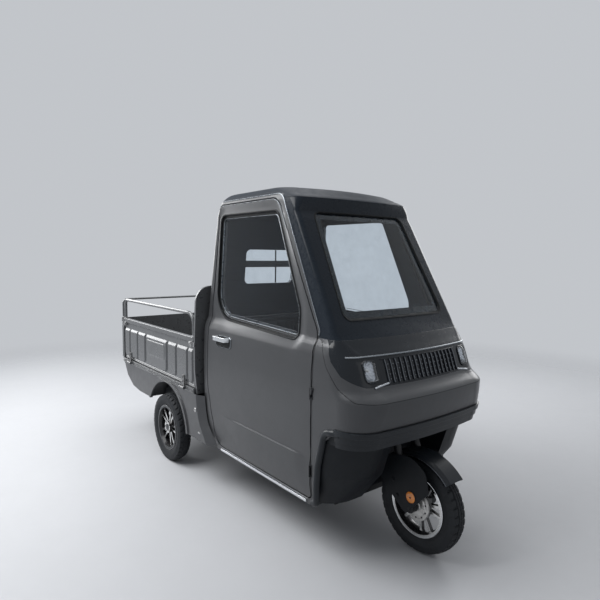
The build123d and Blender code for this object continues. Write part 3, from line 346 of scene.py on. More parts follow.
def surface(name, color, rough, metallic=0.0, coat=0.0, tone=0.10, tone_scale=4.0, spread=0.06,
            grain=700.0, depth=0.00006, strength=0.25, dust=0.0, stretch=(1, 1, 1), coat_rough=0.06,
            sheen_level=0.5):
    """Paint, plastic, rubber or metal: tone and gloss drift slowly over it, a fine grain covers it,
    and dust can gather towards the ground."""
    material = bpy.data.materials.new(name)
    material.use_nodes = True
    make, link = node_maker(material)
    shader = material.node_tree.nodes["Principled BSDF"]
    place = make("ShaderNodeTexCoord").outputs["Object"]
    stretched = make("ShaderNodeMapping", Vector=place, Scale=stretch).outputs["Vector"]
    slow = make("ShaderNodeTexNoise", Vector=place, Scale=tone_scale, Detail=4.0, Roughness=0.6)
    base = ramp(make, slow.outputs["Fac"], [(0.32, tint(color, 1 - tone)), (0.68, tint(color, 1 + tone))])
    fine = make("ShaderNodeTexNoise", Vector=stretched, Scale=grain, Detail=3.0, Roughness=0.6)
    gloss = make("ShaderNodeTexNoise", Vector=place, Scale=tone_scale * 5, Detail=6.0, Roughness=0.65)
    gloss_range = make("ShaderNodeMapRange", Value=gloss.outputs["Fac"], From_Min=0.3, From_Max=0.7,
                       To_Min=max(0.02, rough - spread), To_Max=min(1.0, rough + spread))
    rough_out = gloss_range.outputs["Result"]
    if dust:
        height = make("ShaderNodeSeparateXYZ", Vector=place).outputs["Z"]
        low = make("ShaderNodeMapRange", Value=height, From_Min=0.75, From_Max=0.10, To_Min=0.0, To_Max=dust)
        cloud = make("ShaderNodeTexNoise", Vector=place, Scale=9.0, Detail=8.0, Roughness=0.7)
        veil = make("ShaderNodeMath")
        veil.operation = "MULTIPLY"
        link(low.outputs["Result"], veil.inputs[0])
        link(cloud.outputs["Fac"], veil.inputs[1])
        mix = make("ShaderNodeMixRGB", Fac=veil.outputs["Value"], Color1=base, Color2=dust_colour)
        base = mix.outputs["Color"]
    link(base, shader.inputs["Base Color"])
    link(rough_out, shader.inputs["Roughness"])
    shader.inputs["Metallic"].default_value = metallic
    shader.inputs["Coat Weight"].default_value = coat
    shader.inputs["Coat Roughness"].default_value = coat_rough
    shader.inputs["Specular IOR Level"].default_value = sheen_level
    bump = make("ShaderNodeBump", Height=fine.outputs["Fac"], Strength=strength, Distance=depth)
    link(bump.outputs["Normal"], shader.inputs["Normal"])
    return material


def glazing(name, color, rough=0.015, alpha_shadow=0.8, ior=1.45):
    """Clear or tinted glass with faint smears. Lamps shine through it."""
    material = bpy.data.materials.new(name)
    material.use_nodes = True
    make, link = node_maker(material)
    tree = material.node_tree
    shader = tree.nodes["Principled BSDF"]
    place = make("ShaderNodeTexCoord").outputs["Object"]
    smear = make("ShaderNodeTexNoise", Vector=place, Scale=14.0, Detail=6.0, Roughness=0.7)
    shade = ramp(make, smear.outputs["Fac"], [(0.35, tint(color, 0.97)), (0.70, tint(color, 1.03))])
    link(shade, shader.inputs["Base Color"])
    film = make("ShaderNodeMapRange", Value=smear.outputs["Fac"], From_Min=0.55, From_Max=0.85,
                To_Min=rough, To_Max=rough + 0.03)
    link(film.outputs["Result"], shader.inputs["Roughness"])
    shader.inputs["Transmission Weight"].default_value = 1.0
    shader.inputs["IOR"].default_value = ior
    clear = make("ShaderNodeBsdfTransparent", Color=tint(color, alpha_shadow))
    mix = make("ShaderNodeMixShader", Fac=make("ShaderNodeLightPath").outputs["Is Shadow Ray"])
    link(shader.outputs["BSDF"], mix.inputs[1])
    link(clear.outputs["BSDF"], mix.inputs[2])
    link(mix.outputs["Shader"], tree.nodes["Material Output"].inputs["Surface"])
    return material


def cast_wheel(name):
    """Black wheel with bright machined faces where it looks along the axle."""
    material = surface(name, (0.012, 0.012, 0.013), 0.30, coat=0.4)
    make, link = node_maker(material)
    tree = material.node_tree
    shader = tree.nodes["Principled BSDF"]
    coords = make("ShaderNodeTexCoord")
    across = make("ShaderNodeSeparateXYZ", Vector=coords.outputs["Normal"]).outputs["Y"]
    facing = make("ShaderNodeMath")
    facing.operation = "ABSOLUTE"
    link(across, facing.inputs[0])
    mask = make("ShaderNodeMapRange", Value=facing.outputs["Value"], From_Min=0.80, From_Max=0.93)
    base = shader.inputs["Base Color"].links[0].from_socket
    mix = make("ShaderNodeMixRGB", Fac=mask.outputs["Result"], Color1=base, Color2=machined_colour)
    link(mix.outputs["Color"], shader.inputs["Base Color"])
    link(mask.outputs["Result"], shader.inputs["Metallic"])
    rings = make("ShaderNodeTexNoise", Vector=coords.outputs["Object"], Scale=260.0, Detail=3.0)
    rough = make("ShaderNodeMapRange", Value=rings.outputs["Fac"], To_Min=0.16, To_Max=0.34)
    link(rough.outputs["Result"], shader.inputs["Roughness"])
    return material


body_grey = (0.060, 0.062, 0.066)
paint = surface("body_paint", body_grey, 0.34, metallic=0.45, coat=0.30, tone=0.05, grain=1600, strength=0.18,
                dust=0.10, coat_rough=0.16, sheen_level=0.4)
bed_paint = surface("bed_paint", (0.115, 0.119, 0.124), 0.30, metallic=0.40, coat=0.40, tone=0.07, grain=1300,
                    strength=0.20, dust=0.12, coat_rough=0.14)
roof_paint = surface("roof_paint", (0.013, 0.018, 0.026), 0.42, tone=0.06, grain=1400, sheen_level=0.12)
pillar_black = surface("pillar_black", (0.008, 0.013, 0.020), 0.28, coat=0.12, tone=0.05, coat_rough=0.1,
                       strength=0.12, sheen_level=0.16)
panel_black = surface("panel_black", (0.007, 0.010, 0.014), 0.24, coat=0.25, tone=0.06, coat_rough=0.1,
                      sheen_level=0.22)
slat_grey = surface("slat_grey", (0.120, 0.130, 0.145), 0.30, metallic=0.6, tone=0.05)
black_plastic = surface("black_plastic", (0.009, 0.011, 0.014), 0.46, tone=0.12, grain=420, depth=0.0002,
                        strength=0.35, dust=0.06, sheen_level=0.22)
bumper_black = surface("bumper_black", (0.011, 0.014, 0.018), 0.34, coat=0.15, tone=0.08, grain=520,
                       depth=0.0002, strength=0.25, dust=0.04, sheen_level=0.28, coat_rough=0.2)
seal_rubber = surface("seal_rubber", (0.006, 0.007, 0.008), 0.55, tone=0.15, grain=300, depth=0.0003,
                      sheen_level=0.18)
tyre_rubber = surface("tyre_rubber", (0.009, 0.011, 0.014), 0.62, tone=0.20, tone_scale=12, grain=240,
                      depth=0.0005, strength=0.5, dust=0.10, sheen_level=0.3)
bright = surface("bright_trim", (0.82, 0.84, 0.86), 0.14, metallic=1.0, tone=0.04, spread=0.05)
rail_metal = surface("rail_metal", (0.25, 0.27, 0.29), 0.28, metallic=1.0, tone=0.05, spread=0.05)
hinge_metal = surface("hinge_metal", (0.22, 0.22, 0.22), 0.38, metallic=0.9, tone=0.15, dust=0.1)
satin_metal = surface("satin_metal", (0.46, 0.46, 0.46), 0.30, metallic=1.0, tone=0.06, grain=900)
drum_metal = surface("drum_metal", (0.62, 0.61, 0.59), 0.36, metallic=0.9, tone=0.18, tone_scale=30, grain=320,
                     depth=0.0004, strength=0.5)
wheel_metal = cast_wheel("wheel_metal")
frame_paint = surface("frame_paint", (0.010, 0.011, 0.013), 0.42, coat=0.1, tone=0.14, dust=0.14, grain=300,
                      depth=0.0003, sheen_level=0.25)
spring_steel = surface("spring_steel", (0.030, 0.030, 0.032), 0.45, metallic=0.6, tone=0.2, dust=0.2)
floor_rubber = surface("floor_rubber", (0.014, 0.015, 0.017), 0.7, tone=0.15, grain=200, depth=0.0006,
                       strength=0.5, sheen_level=0.2)
leather = surface("seat_leather", (0.016, 0.017, 0.020), 0.44, tone=0.12, tone_scale=18, grain=380, depth=0.0008,
                  strength=0.55, sheen_level=0.3)
thread = surface("seat_thread", (0.12, 0.12, 0.12), 0.7, tone=0.2, grain=900)
lining = surface("cab_lining", (0.012, 0.017, 0.026), 0.7, tone=0.08, grain=500, depth=0.0005, strength=0.4,
                 sheen_level=0.2)
dash_plastic = surface("dash_plastic", (0.014, 0.016, 0.020), 0.55, tone=0.1, grain=380, depth=0.0005,
                       strength=0.5, sheen_level=0.22)
dial_face = surface("dial_face", (0.006, 0.007, 0.009), 0.25, coat=0.6, tone=0.1)
dial_mark = surface("dial_mark", (0.80, 0.80, 0.78), 0.4, tone=0.03)
amber = surface("amber_lens", (0.85, 0.26, 0.02), 0.14, coat=0.8, tone=0.12, tone_scale=60, grain=180,
                depth=0.0012, strength=0.6)
red_lens = surface("red_lens", (0.34, 0.008, 0.010), 0.12, coat=0.8, tone=0.12, tone_scale=40, grain=160,
                   depth=0.0012, strength=0.6)
reflector_metal = surface("lamp_reflector", (0.50, 0.52, 0.55), 0.16, metallic=1.0, tone=0.05, grain=60,
                          depth=0.0012, strength=0.35)
side_glass = glazing("side_glass", (0.84, 0.90, 0.96), alpha_shadow=0.25, ior=1.22)
screen_glass = glazing("screen_glass", (0.94, 0.97, 0.98), alpha_shadow=0.35, ior=1.25)
lamp_glass = glazing("lamp_glass", (0.90, 0.92, 0.94), rough=0.03, alpha_shadow=1.0)


# Mesh making


def finished(name, bm, material, body, slot=None, replaces=(), bevel=0.0, segments=2, angle=35):
    """Turns a bmesh into a named piece that rides on a body."""
    bmesh.ops.recalc_face_normals(bm, faces=bm.faces)
    for f in bm.faces:
        f.smooth = True
    for e in bm.edges:
        e.smooth = not (e.is_manifold and e.calc_face_angle(0) > radians(angle))
    mesh = bpy.data.meshes.new(name)
    bm.to_mesh(mesh)
    bm.free()
    made = bpy.data.objects.new(name, mesh)
    bpy.context.scene.collection.objects.link(made)
    mesh.materials.append(material)
    if bevel:
        round_edges(made, bevel, segments, angle)
    else:
        made.modifiers.new("weighted", "WEIGHTED_NORMAL").keep_sharp = True
    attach(made, body)
    if replaces:
        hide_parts(*replaces)
    return made


def round_edges(made, width, segments=2, angle=35):
    edge = made.modifiers.new("edges", "BEVEL")
    edge.width = width
    edge.segments = segments
    edge.limit_method = "ANGLE"
    edge.angle_limit = radians(angle)
    edge.use_clamp_overlap = True
    edge.miter_outer = "MITER_ARC"
    edge.harden_normals = False
    made.modifiers.new("weighted", "WEIGHTED_NORMAL").keep_sharp = False


def dress(node, material, bevel=0.0015, segments=2):
    """Keeps a CAD node's shape, joins its split faces, rounds its edges and gives it a finish."""
    made = nodes[node]
    made.data.materials.clear()
    made.data.materials.append(material)
    for p in made.data.polygons:
        p.use_smooth = True
    made.modifiers.new("weld", "WELD").merge_threshold = weld_distance
    flat = made.modifiers.new("flat", "DECIMATE")
    flat.decimate_type = "DISSOLVE"
    flat.angle_limit = radians(0.4)
    round_edges(made, bevel, segments)
    return made


def looks_sideways_in(normal, centre):
    """Whether a face of the cab's side looks into the cab."""
    return normal.y * (1 if centre.y > 0 else -1) < -0.5 or (centre.z > 1.7 and normal.z < -0.5)


def looks_back(normal, _):
    return normal.x < -0.45 or normal.z < -0.6


def looks_forward(normal, _):
    return normal.x > 0.5


lining_gap, lining_thickness = 0.0016, 0.0010
weld_distance = 0.00002
# The pressing moves the outer sheet alone: it fades out at this depth and isn't there ahead of the door
press_keeps, press_fades, press_front_x = 0.016, 0.014, 1.05


def lining_sheet(name, bm, looks_in, body):
    """Dark trim a little inside those faces of a skin that look into the cab."""
    sheet = bm.copy()
    bmesh.ops.recalc_face_normals(sheet, faces=sheet.faces)
    hidden = [f for f in sheet.faces if not looks_in(f.normal, f.calc_center_median())]
    bmesh.ops.delete(sheet, geom=hidden, context="FACES")
    sheet.normal_update()
    for v in sheet.verts:
        v.co += v.normal * lining_gap
    made = finished(name, sheet, lining, body)
    thick = made.modifiers.new("sheet", "SOLIDIFY")
    thick.thickness = lining_thickness
    thick.offset = -1
    return made


def skin(node, material, bevel=0.0016, cell=0.018, cell_x=0.030, slot=None, looks_in=None, cuts=()):
    """A CAD node of the cab cut into small cells and moved onto the smooth sections."""
    bm = bmesh.new()
    bm.from_mesh(nodes[node].data)
    bmesh.ops.remove_doubles(bm, verts=bm.verts, dist=weld_distance)
    bmesh.ops.dissolve_limit(bm, angle_limit=radians(0.4), verts=bm.verts, edges=bm.edges)
    sharp = [e for e in bm.edges if e.is_manifold and e.calc_face_angle(0) > radians(35)]
    if bevel:
        bmesh.ops.bevel(bm, geom=sharp, offset=bevel, segments=2, profile=0.6, affect="EDGES", clamp_overlap=True)
    low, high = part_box(node)
    for axis, step in ((2, cell), (0, cell_x)):
        normal = Vector((0, 0, 0))
        normal[axis] = 1
        places = [low[axis] + k * step for k in range(1, int((high[axis] - low[axis]) / step))]
        for value in places + (list(cuts) if axis == 2 else []):
            at = Vector((0, 0, 0))
            at[axis] = value
            geom = bm.verts[:] + bm.edges[:] + bm.faces[:]
            bmesh.ops.bisect_plane(bm, geom=geom, plane_co=at, plane_no=normal, dist=0.00001)
    co = soften(np.array([v.co for v in bm.verts]))
    depth = side_y(co[:, 0], co[:, 2]) - np.abs(co[:, 1])
    share = 1 - smooth_step((depth - press_keeps) / press_fades)
    share = np.where(co[:, 0] < press_front_x, share, 0.0)
    co[:, 1] -= np.sign(co[:, 1]) * press(co[:, 0], co[:, 2]) * share
    for v, place in zip(bm.verts, co):
        v.co = place
    body = nodes[node]["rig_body"]
    if looks_in:
        lining_sheet(node + "_lining", bm, looks_in, body)
    return finished(node + "_skin", bm, material, body, slot=slot, replaces=[node], angle=40)


def bridge(bm, one, two, close=True):
    """Faces between two rows with equal point counts."""
    count = len(one)
    for k in range(count if close else count - 1):
        bm.faces.new((one[k], one[(k + 1) % count], two[(k + 1) % count], two[k]))


def join(bm, rings, close=False):
    """Skin through rings of points, capped at both ends unless it closes on itself."""
    for one, two in zip(rings, rings[1:] + (rings[:1] if close else [])):
        bridge(bm, one, two)
    if not close:
        bm.faces.new(rings[0])
        bm.faces.new(rings[-1][::-1])


def sweep(bm, path, normals, profile, close=False):
    """Carries a profile of (across, out) points along a path with a normal at each point."""
    rings = []
    count = len(path)
    for i, (p, n) in enumerate(zip(path, normals)):
        before = path[(i - 1) % count] if close else path[max(i - 1, 0)]
        after = path[(i + 1) % count] if close else path[min(i + 1, count - 1)]
        along = (Vector(after) - Vector(before)).normalized()
        across = along.cross(n).normalized()
        out = across.cross(along).normalized()
        rings.append([bm.verts.new(Vector(p) + across * a + out * b) for a, b in profile])
    join(bm, rings, close)


def carry(bm, line, normal, profile, close=False):
    """Carries a profile along a line that keeps one normal."""
    sweep(bm, line, [Vector(normal)] * len(line), profile, close)


def circle(radius, count=12, lift=0.0):
    return [(radius * cos(2 * pi * k / count), lift + radius * sin(2 * pi * k / count)) for k in range(count)]


def dome(width, height, count=8, sunk=0.002):
    """Half-round profile standing on the surface, with a foot sunk into it."""
    arc = [(-cos(pi * k / count) * width / 2, sin(pi * k / count) * height) for k in range(count + 1)]
    return [(-width / 2, -sunk)] + arc + [(width / 2, -sunk)]


def lathe(bm, profile, place, axis="Y", count=48):
    """Turns (along, radius) points about an axis through place."""
    rings = []
    for along, radius in profile:
        ring = []
        for k in range(count):
            a = 2 * pi * k / count
            if axis == "Y":
                p = (radius * cos(a), along, radius * sin(a))
            elif axis == "X":
                p = (along, radius * cos(a), radius * sin(a))
            else:
                p = (radius * cos(a), radius * sin(a), along)
            ring.append(bm.verts.new(Vector(place) + Vector(p)))
        rings.append(ring)
    join(bm, rings)


def slab(bm, outline, low, high, axis="Y", inset=0.0, crown=0.0):
    """Plate with a 2-D outline between two places along an axis; the high face may be drawn in."""
    def place(a, b, along):
        return {"X": (along, a, b), "Y": (a, along, b), "Z": (a, b, along)}[axis]

    points = np.asarray(outline, float)
    middle = points.mean(0)
    reach = np.abs(points - middle).max()
    shrunk = middle + (points - middle) * (1 - inset / reach)
    one = [bm.verts.new(place(a, b, low)) for a, b in points]
    two = [bm.verts.new(place(a, b, high - (high - low) * crown)) for a, b in points]
    three = [bm.verts.new(place(a, b, high)) for a, b in shrunk]
    join(bm, [one, two, three])


def rounded_box(x0, x1, z0, z1, r, step=0.004):
    return fillet([(x0, z0), (x1, z0), (x1, z1), (x0, z1)], [r] * 4, step)


def both_sides(name, build, material, bodies, **options):
    """The same piece on the right and on the left. build fills a bmesh for the right one."""
    made = []
    for label, body, flip in (("right", bodies[0], False), ("left", bodies[1], True)):
        bm = bmesh.new()
        build(bm)
        if flip:
            bmesh.ops.scale(bm, vec=(1, -1, 1), verts=bm.verts)
        own = dict(options)
        if "replaces" in own:
            own["replaces"] = [n + "_" + label for n in own["replaces"]]
        made.append(finished(f"{name}_{label}", bm, material, body, **own))
    return made


door_bodies = ("door_right_body", "door_left_body")
gate_bodies = ("side_gate_right_body", "side_gate_left_body")
hull_bodies = ("chassis", "chassis")

# Cab shell
for label in ("right", "left"):
    skin(f"side_frame_{label}", paint, slot="body_paint", looks_in=looks_sideways_in)
    skin(f"door_{label}", paint, cell=0.014, cell_x=0.018, slot="body_paint", looks_in=looks_sideways_in,
         cuts=[shelf_z + shelf_fall * k / 6 for k in range(-1, 8)])
    skin(f"door_glass_{label}", side_glass, bevel=0.0008, cell=0.04, cell_x=0.06, slot="window_glass")
skin("rear_wall", paint, slot="body_paint", looks_in=looks_forward)
skin("rear_window", screen_glass, bevel=0.0008, slot="window_glass")
skin("screen_frame", pillar_black, bevel=0.0012, slot="black_panel", looks_in=looks_back)
skin("windscreen", screen_glass, bevel=0.001, slot="window_glass")
skin("cowl_panel", panel_black, bevel=0.0012, cell=0.012, slot="black_panel")
skin("nose_band", paint, bevel=0.003, cell=0.010, slot="body_paint")
skin("front_shell", paint, bevel=0.002, cell=0.014, slot="body_paint")
skin("bumper", bumper_black, bevel=0.0022, slot="bumper_plastic")


def roof_patch():
    """Crowned roof from its edge seam up, on smooth sections that end in a short ridge."""
    rows = np.vstack([soft_rows[-3:], roof_rows])
    run = np.concatenate([[0], np.cumsum(np.hypot(np.diff(rows[:, 0]), np.diff(rows[:, 5] + rows[:, 1] * -0.5)))])

    def section(s):
        return [float(cubic(s, run, rows[:, k])) for k in range(6)]

    side_count, corner_count, front_count, rear_count = 46, 10, 20, 6
    rear_r = 0.042

    def ring(s):
        z, rear, front, crown, r, half = section(s)
        r = min(r, half * 0.95)
        rr = min(rear_r, half * 0.9)
        x_side, h = front - crown - r, half - r
        big = arc_radius(max(crown, 1e-5), max(h, 1e-5))
        points = [(x_side - (x_side - rear - rr) * (1 - k / side_count), half) for k in range(side_count)]
        points += [(x_side + r * sin(pi / 2 * k / corner_count), h + r * cos(pi / 2 * k / corner_count))
                   for k in range(corner_count)]
        points += [(front - big + sqrt(big * big - (h * t) ** 2), h * t)
                   for t in np.linspace(1, -1, 2 * front_count + 1)]
        right = [(a, -b) for a, b in points[side_count + corner_count - 1::-1]]
        points += right
        back = [(rear + rr * (1 - cos(pi / 2 * k / rear_count)), -(half - rr + rr * sin(pi / 2 * k / rear_count)))
                for k in range(rear_count - 1, -1, -1)]
        points += back
        points += [(rear, (half - rr) * t) for t in np.linspace(-1, 1, 2 * front_count + 1)[1:-1]]
        points += [(a, -b) for a, b in back[::-1]]
        return [(a, -b, z) for a, b in points]

    edge = [float(np.interp(z, rows[:, 0], run)) for z in (front_seam_z, side_seam_z)]
    bm = bmesh.new()
    steps = 40
    rings = [[bm.verts.new(p) for p in ring(s)] for s in np.linspace(edge[1], run[-1], steps + 1)]
    for one, two in zip(rings, rings[1:]):
        bridge(bm, one, two)
    bm.faces.new(rings[-1])
    # The screen frame's seam lies lower than the sides' seam, so the front has a strip below the ring
    first, last = side_count, side_count + 2 * corner_count + 2 * front_count
    strip_steps, side_steps = 8, 4
    strip = []
    for s in np.linspace(edge[0], edge[1], strip_steps + 1):
        z = section(s)[0]
        whole = ring(s)[first:last + 1]
        seam_x = front_seam_x + front_seam_lean * (side_seam_z - z) / (side_seam_z - front_seam_z)
        row = []
        for corner, way in ((whole[0], 1), (whole[-1], -1)):
            part = [(seam_x + (corner[0] - seam_x) * k / side_steps, corner[1], z) for k in range(side_steps)]
            row.append(part[::way])
        strip.append([bm.verts.new(p) for p in row[0] + whole + row[1]])
    for one, two in zip(strip, strip[1:]):
        bridge(bm, one, two, close=False)
    bmesh.ops.remove_doubles(bm, verts=bm.verts, dist=0.0002)
    bmesh.ops.dissolve_degenerate(bm, edges=bm.edges, dist=0.0001)
    made = finished("roof_skin", bm, roof_paint, "chassis", slot="roof_paint", replaces=["roof"], angle=50)
    thick = made.modifiers.new("sheet", "SOLIDIFY")
    thick.thickness = 0.012
    thick.offset = -1
    return made


roof_patch()


def side_places(points, out=0.0, side=-1):
    """Places on the cab's side, moved outwards, for a run of side-view points."""
    p = np.asarray(points, float)
    y = side_y(p[:, 0], p[:, 1]) - press(p[:, 0], p[:, 1]) + out
    return [Vector((a, side * b, c)) for (a, c), b in zip(p, y)]


def bead(bm, points, width, height, out=0.0, close=False):
    """Half-round strip along a side-view line on the cab's right side."""
    sweep(bm, side_places(points, out), [side_normal(a, c) for a, c in points], dome(width, height), close)


def front_strip(bm, points, profile, out=0.0):
    """Strip along a front-view line on the cab's front."""
    sweep(bm, [on_front(y, z, out) for y, z in points], [front_normal(y, z) for y, z in points], profile)


def loft(bm, loops, close=False):
    """Skin through loops with equal point counts, capped at both ends unless it closes on itself."""
    join(bm, [[bm.verts.new(p) for p in loop] for loop in loops], close)


def ring_on_side(bm, outline, table, close=True):
    """Skin on the cab's side through (grown by, out) rows of an outline."""
    loft(bm, [side_places(offset_loop(outline, grow), out) for grow, out in table], close)


def box(bm, low, high):
    """Plain block for small fittings; its edges are rounded when it is finished."""
    slab(bm, [(low[0], low[1]), (high[0], low[1]), (high[0], high[1]), (low[0], high[1])], low[2], high[2], "Z")


def bolt_head(bm, place, radius, height, axis="Y", sign=-1):
    """Six-sided head on a round washer."""
    lathe(bm, [(0, radius * 1.35), (sign * height * 0.3, radius * 1.35)], place, axis, 20)
    lathe(bm, [(sign * height * 0.3, radius), (sign * height * 0.9, radius), (sign * height, radius * 0.8)],
          place, axis, 6)


# Roof drip rails, door hems and the rubber round the windows; the rails and hems are in a metal lighter than the paint
# round them, which paints their highlight lines
rail_corners = [(0.037, 1.8915), (0.695, 1.8915), (1.062, 1.176), (1.058, 1.152)]
rail_line = resample(fillet(rail_corners, [0, 0.085, 0.006, 0], 0.006, close=False), 150, close=False)
hem_corners = [(0.030, 1.8635), (0.6485, 1.8635), (0.742, 1.695)]
hem_line = resample(fillet(hem_corners, [0, 0.080, 0], 0.006, close=False), 80, close=False)
# Painted highlight: the lighter metal of the drip rails and door hems stands for the highlight lines along the roof's
# edge and the door's top
both_sides("drip_rail_highlight", lambda bm: bead(bm, rail_line, 0.0065, 0.0045), rail_metal, hull_bodies)
both_sides("door_hem_highlight", lambda bm: bead(bm, hem_line, 0.0035, 0.0025), rail_metal, door_bodies)

seal_table = [(0.009, -0.002), (0.008, 0.0025), (0.003, 0.0040), (-0.002, 0.0015), (-0.003, -0.0085),
              (-0.016, -0.0105), (-0.020, -0.0125), (-0.020, -0.0160), (-0.002, -0.0175)]
both_sides("window_seal", lambda bm: ring_on_side(bm, window_loop, seal_table), seal_rubber, door_bodies)
frame_table = [(-0.0190, -0.0130), (-0.0192, -0.0102), (-0.0205, -0.0096), (-0.0218, -0.0102), (-0.0222, -0.0142),
               (-0.0190, -0.0142)]
both_sides("window_frame", lambda bm: ring_on_side(bm, window_loop, frame_table), rail_metal, door_bodies)
track = offset_loop(window_loop, -0.035)
track_line = [p for p in track if p[1] < 1.19 and 0.06 < p[0] < 0.850]
both_sides("window_track", lambda bm: bead(bm, track_line, 0.0032, 0.0030, -0.0140), slat_grey, door_bodies)
track_low = [p for p in offset_loop(window_loop, -0.010) if p[1] < 1.19 and 0.04 < p[0] < 0.870]
both_sides("window_track_foot", lambda bm: bead(bm, track_low, 0.0030, 0.0025, -0.0100), slat_grey, door_bodies)

door_corners = [(0.013, 1.868), (0.650, 1.868), (1.040, 1.165), (1.042, 0.308), (0.079, 0.308), (-0.046, 0.690),
                (-0.043, 1.248)]
door_loop = resample(fillet(door_corners, [0.03, 0.10, 0.06, 0.024, 0.09, 0.5, 0.3]), 400)
door_seal_table = [(0.0068, -0.036), (0.0025, -0.034), (0.0025, -0.044), (0.0068, -0.044)]
both_sides("door_seal", lambda bm: ring_on_side(bm, door_loop, door_seal_table), seal_rubber, hull_bodies)

# Door handle's dark cup and its rim, the door's hinges, and the trim on its inside
cup_loop = resample(rounded_box(0.068, 0.250, 0.964, 1.034, 0.026), 90)
cup_table = [(0.003, -0.002), (0.003, 0.0020), (0.000, 0.0038), (-0.004, 0.0036), (-0.008, 0.0012), (-0.022, 0.0010)]
both_sides("handle_cup", lambda bm: ring_on_side(bm, cup_loop, cup_table, close=False), seal_rubber, door_bodies)
cup_rim_table = [(0.0030, -0.001), (0.0034, 0.0030), (0.0018, 0.0046), (-0.0006, 0.0046), (-0.0010, 0.0030)]
both_sides("handle_rim", lambda bm: ring_on_side(bm, cup_loop, cup_rim_table), rail_metal, door_bodies)


hinge_place, hinge_zs, hinge_radius = (1.047, -0.522, 0), (0.460, 0.860), 0.0064
sleeve_spans = [(-0.0300, -0.0192), (0.0192, 0.0300)]
knuckle_spans = [(-0.0182, 0.0182)]


def hinge_barrels(bm, spans):
    for z in hinge_zs:
        for low, high in spans:
            lathe(bm, [(z + low, hinge_radius), (z + high, hinge_radius)], hinge_place, "Z", 20)


both_sides("hinge_sleeves", lambda bm: hinge_barrels(bm, sleeve_spans), seal_rubber, hull_bodies)
both_sides("hinge_knuckles", lambda bm: hinge_barrels(bm, knuckle_spans), seal_rubber, door_bodies)
card_loop = resample(rounded_box(0.075, 0.985, 0.380, 1.060, 0.060), 160)
card_table = [(0.0, -0.041), (0.0, -0.046), (-0.010, -0.049), (-0.040, -0.049)]
both_sides("door_card", lambda bm: ring_on_side(bm, card_loop, card_table, close=False), dash_plastic, door_bodies)


def arm_rest(bm):
    points = resample(rounded_box(0.34, 0.80, 0.820, 0.872, 0.020), 100)
    ring_on_side(bm, points, [(0.0, -0.047), (0.0, -0.072), (-0.008, -0.080), (-0.018, -0.082)], close=False)


both_sides("arm_rest", arm_rest, leather, door_bodies)

# Rear window's guard bar and mullion, and the band of black round the windscreen
bm = bmesh.new()
box(bm, (-0.0865, -0.226, 1.466), (-0.0785, 0.226, 1.512))
box(bm, (-0.0885, 0.0585, 1.352), (-0.0835, 0.0695, 1.588))
finished("rear_window_bars", bm, black_plastic, "chassis", bevel=0.002)

screen_corners = [(-0.390, 1.227), (0.390, 1.227), (0.345, 1.784), (-0.345, 1.784)]
screen_loop = resample(fillet(screen_corners, [0.044] * 4), 240)


def screen_ring(grow, back):
    return [Vector((float(front_x(a, b)) - back, a, b)) for a, b in offset_loop(screen_loop, grow)]


bm = bmesh.new()
loft(bm, [screen_ring(*row) for row in [(-0.003, 0.0146), (-0.038, 0.0146), (-0.038, 0.0156), (-0.003, 0.0156)]],
     close=True)
finished("windscreen_frit", bm, pillar_black, "chassis")
bm = bmesh.new()
rubber = [(0.006, 0.001), (0.005, -0.003), (0.001, -0.0035), (-0.004, 0.002), (-0.007, 0.0075), (-0.007, 0.0088),
          (0.001, 0.0088), (0.003, 0.004)]
loft(bm, [screen_ring(*row) for row in rubber], close=True)
finished("windscreen_rubber", bm, seal_rubber, "chassis")


# Painted shade: a dark line stands for the shade in the gap beside each door's front edge, and another for the shade
# in the seam round the nose
def door_gap_shade(bm):
    for z0, z1 in ((0.318, 0.4285), (0.4915, 0.8285), (0.8915, 1.150)):
        bead(bm, [(1.0505, z) for z in np.linspace(z0, z1, 14)], 0.0048, 0.0008)


# Painted shade of the gap beside each door's front edge
both_sides("door_gap_shade", door_gap_shade, seal_rubber, hull_bodies)

seam_points = [(1.060, 1.137), (1.096, 1.118), (1.150, 1.010), (1.235, 0.915), (1.330, 0.868), (1.480, 0.860)]
seam_side = resample(fillet(seam_points, [0, 0.020, 0.120, 0.120, 0.060, 0], 0.006, close=False), 160, close=False)
nose_seam_z = 0.8628
bm = bmesh.new()
path, normals = [], []
for x, z in seam_side:
    rear, front, crown, r, half = soft_section(z)
    if x < front - crown - 0.002:
        path.append(on_side(x, z))
        normals.append(side_normal(x, z))
turn_y, turn_z = abs(path[-1].y) - 0.006, path[-1].z
for y in np.linspace(-turn_y, 0, 60):
    z = turn_z + (nose_seam_z - turn_z) * float(smooth_step(1 + y / turn_y))
    path.append(on_front(y, z))
    normals.append(front_normal(y, z))
path += [Vector((p.x, -p.y, p.z)) for p in path[-2::-1]]
normals += [Vector((n.x, -n.y, n.z)) for n in normals[-2::-1]]
sweep(bm, path, normals, dome(0.0028, 0.0007, 4, 0.0015))
# Painted shade: the dark strip stands for the shade in the seam round the nose
finished("nose_seam_shade", bm, seal_rubber, "chassis")

# Lines along the bumper's steps
bm = bmesh.new()
for z, proud in ((0.6985, 0.0062), (0.6665, -0.0014), (0.7220, 0.0088)):
    front_strip(bm, [(y, z) for y in np.linspace(-0.4935, 0.4935, 90)], dome(0.0050, 0.0022, 6), proud)
finished("bumper_lines", bm, bumper_black, "chassis")


def bead_backing(bm):
    """Closes the space behind the bend of the bead beside the bumper."""
    outline = [(1.128, 0.638), (1.128, 0.668), (1.168, 0.703), (1.232, 0.703), (1.232, 0.638)]
    slab(bm, outline, -0.498, -0.5085)


both_sides("bead_backing", bead_backing, black_plastic, hull_bodies)

# Fat bead that rises from the sill, bends and runs into the bumper
bead_corners = [(1.054, 0.288), (1.080, 0.298), (1.104, 0.505), (1.152, 0.690), (1.250, 0.7045)]
bead_line = resample(fillet(bead_corners, [0, 0.020, 0.150, 0.058, 0], 0.004, close=False), 120, close=False)


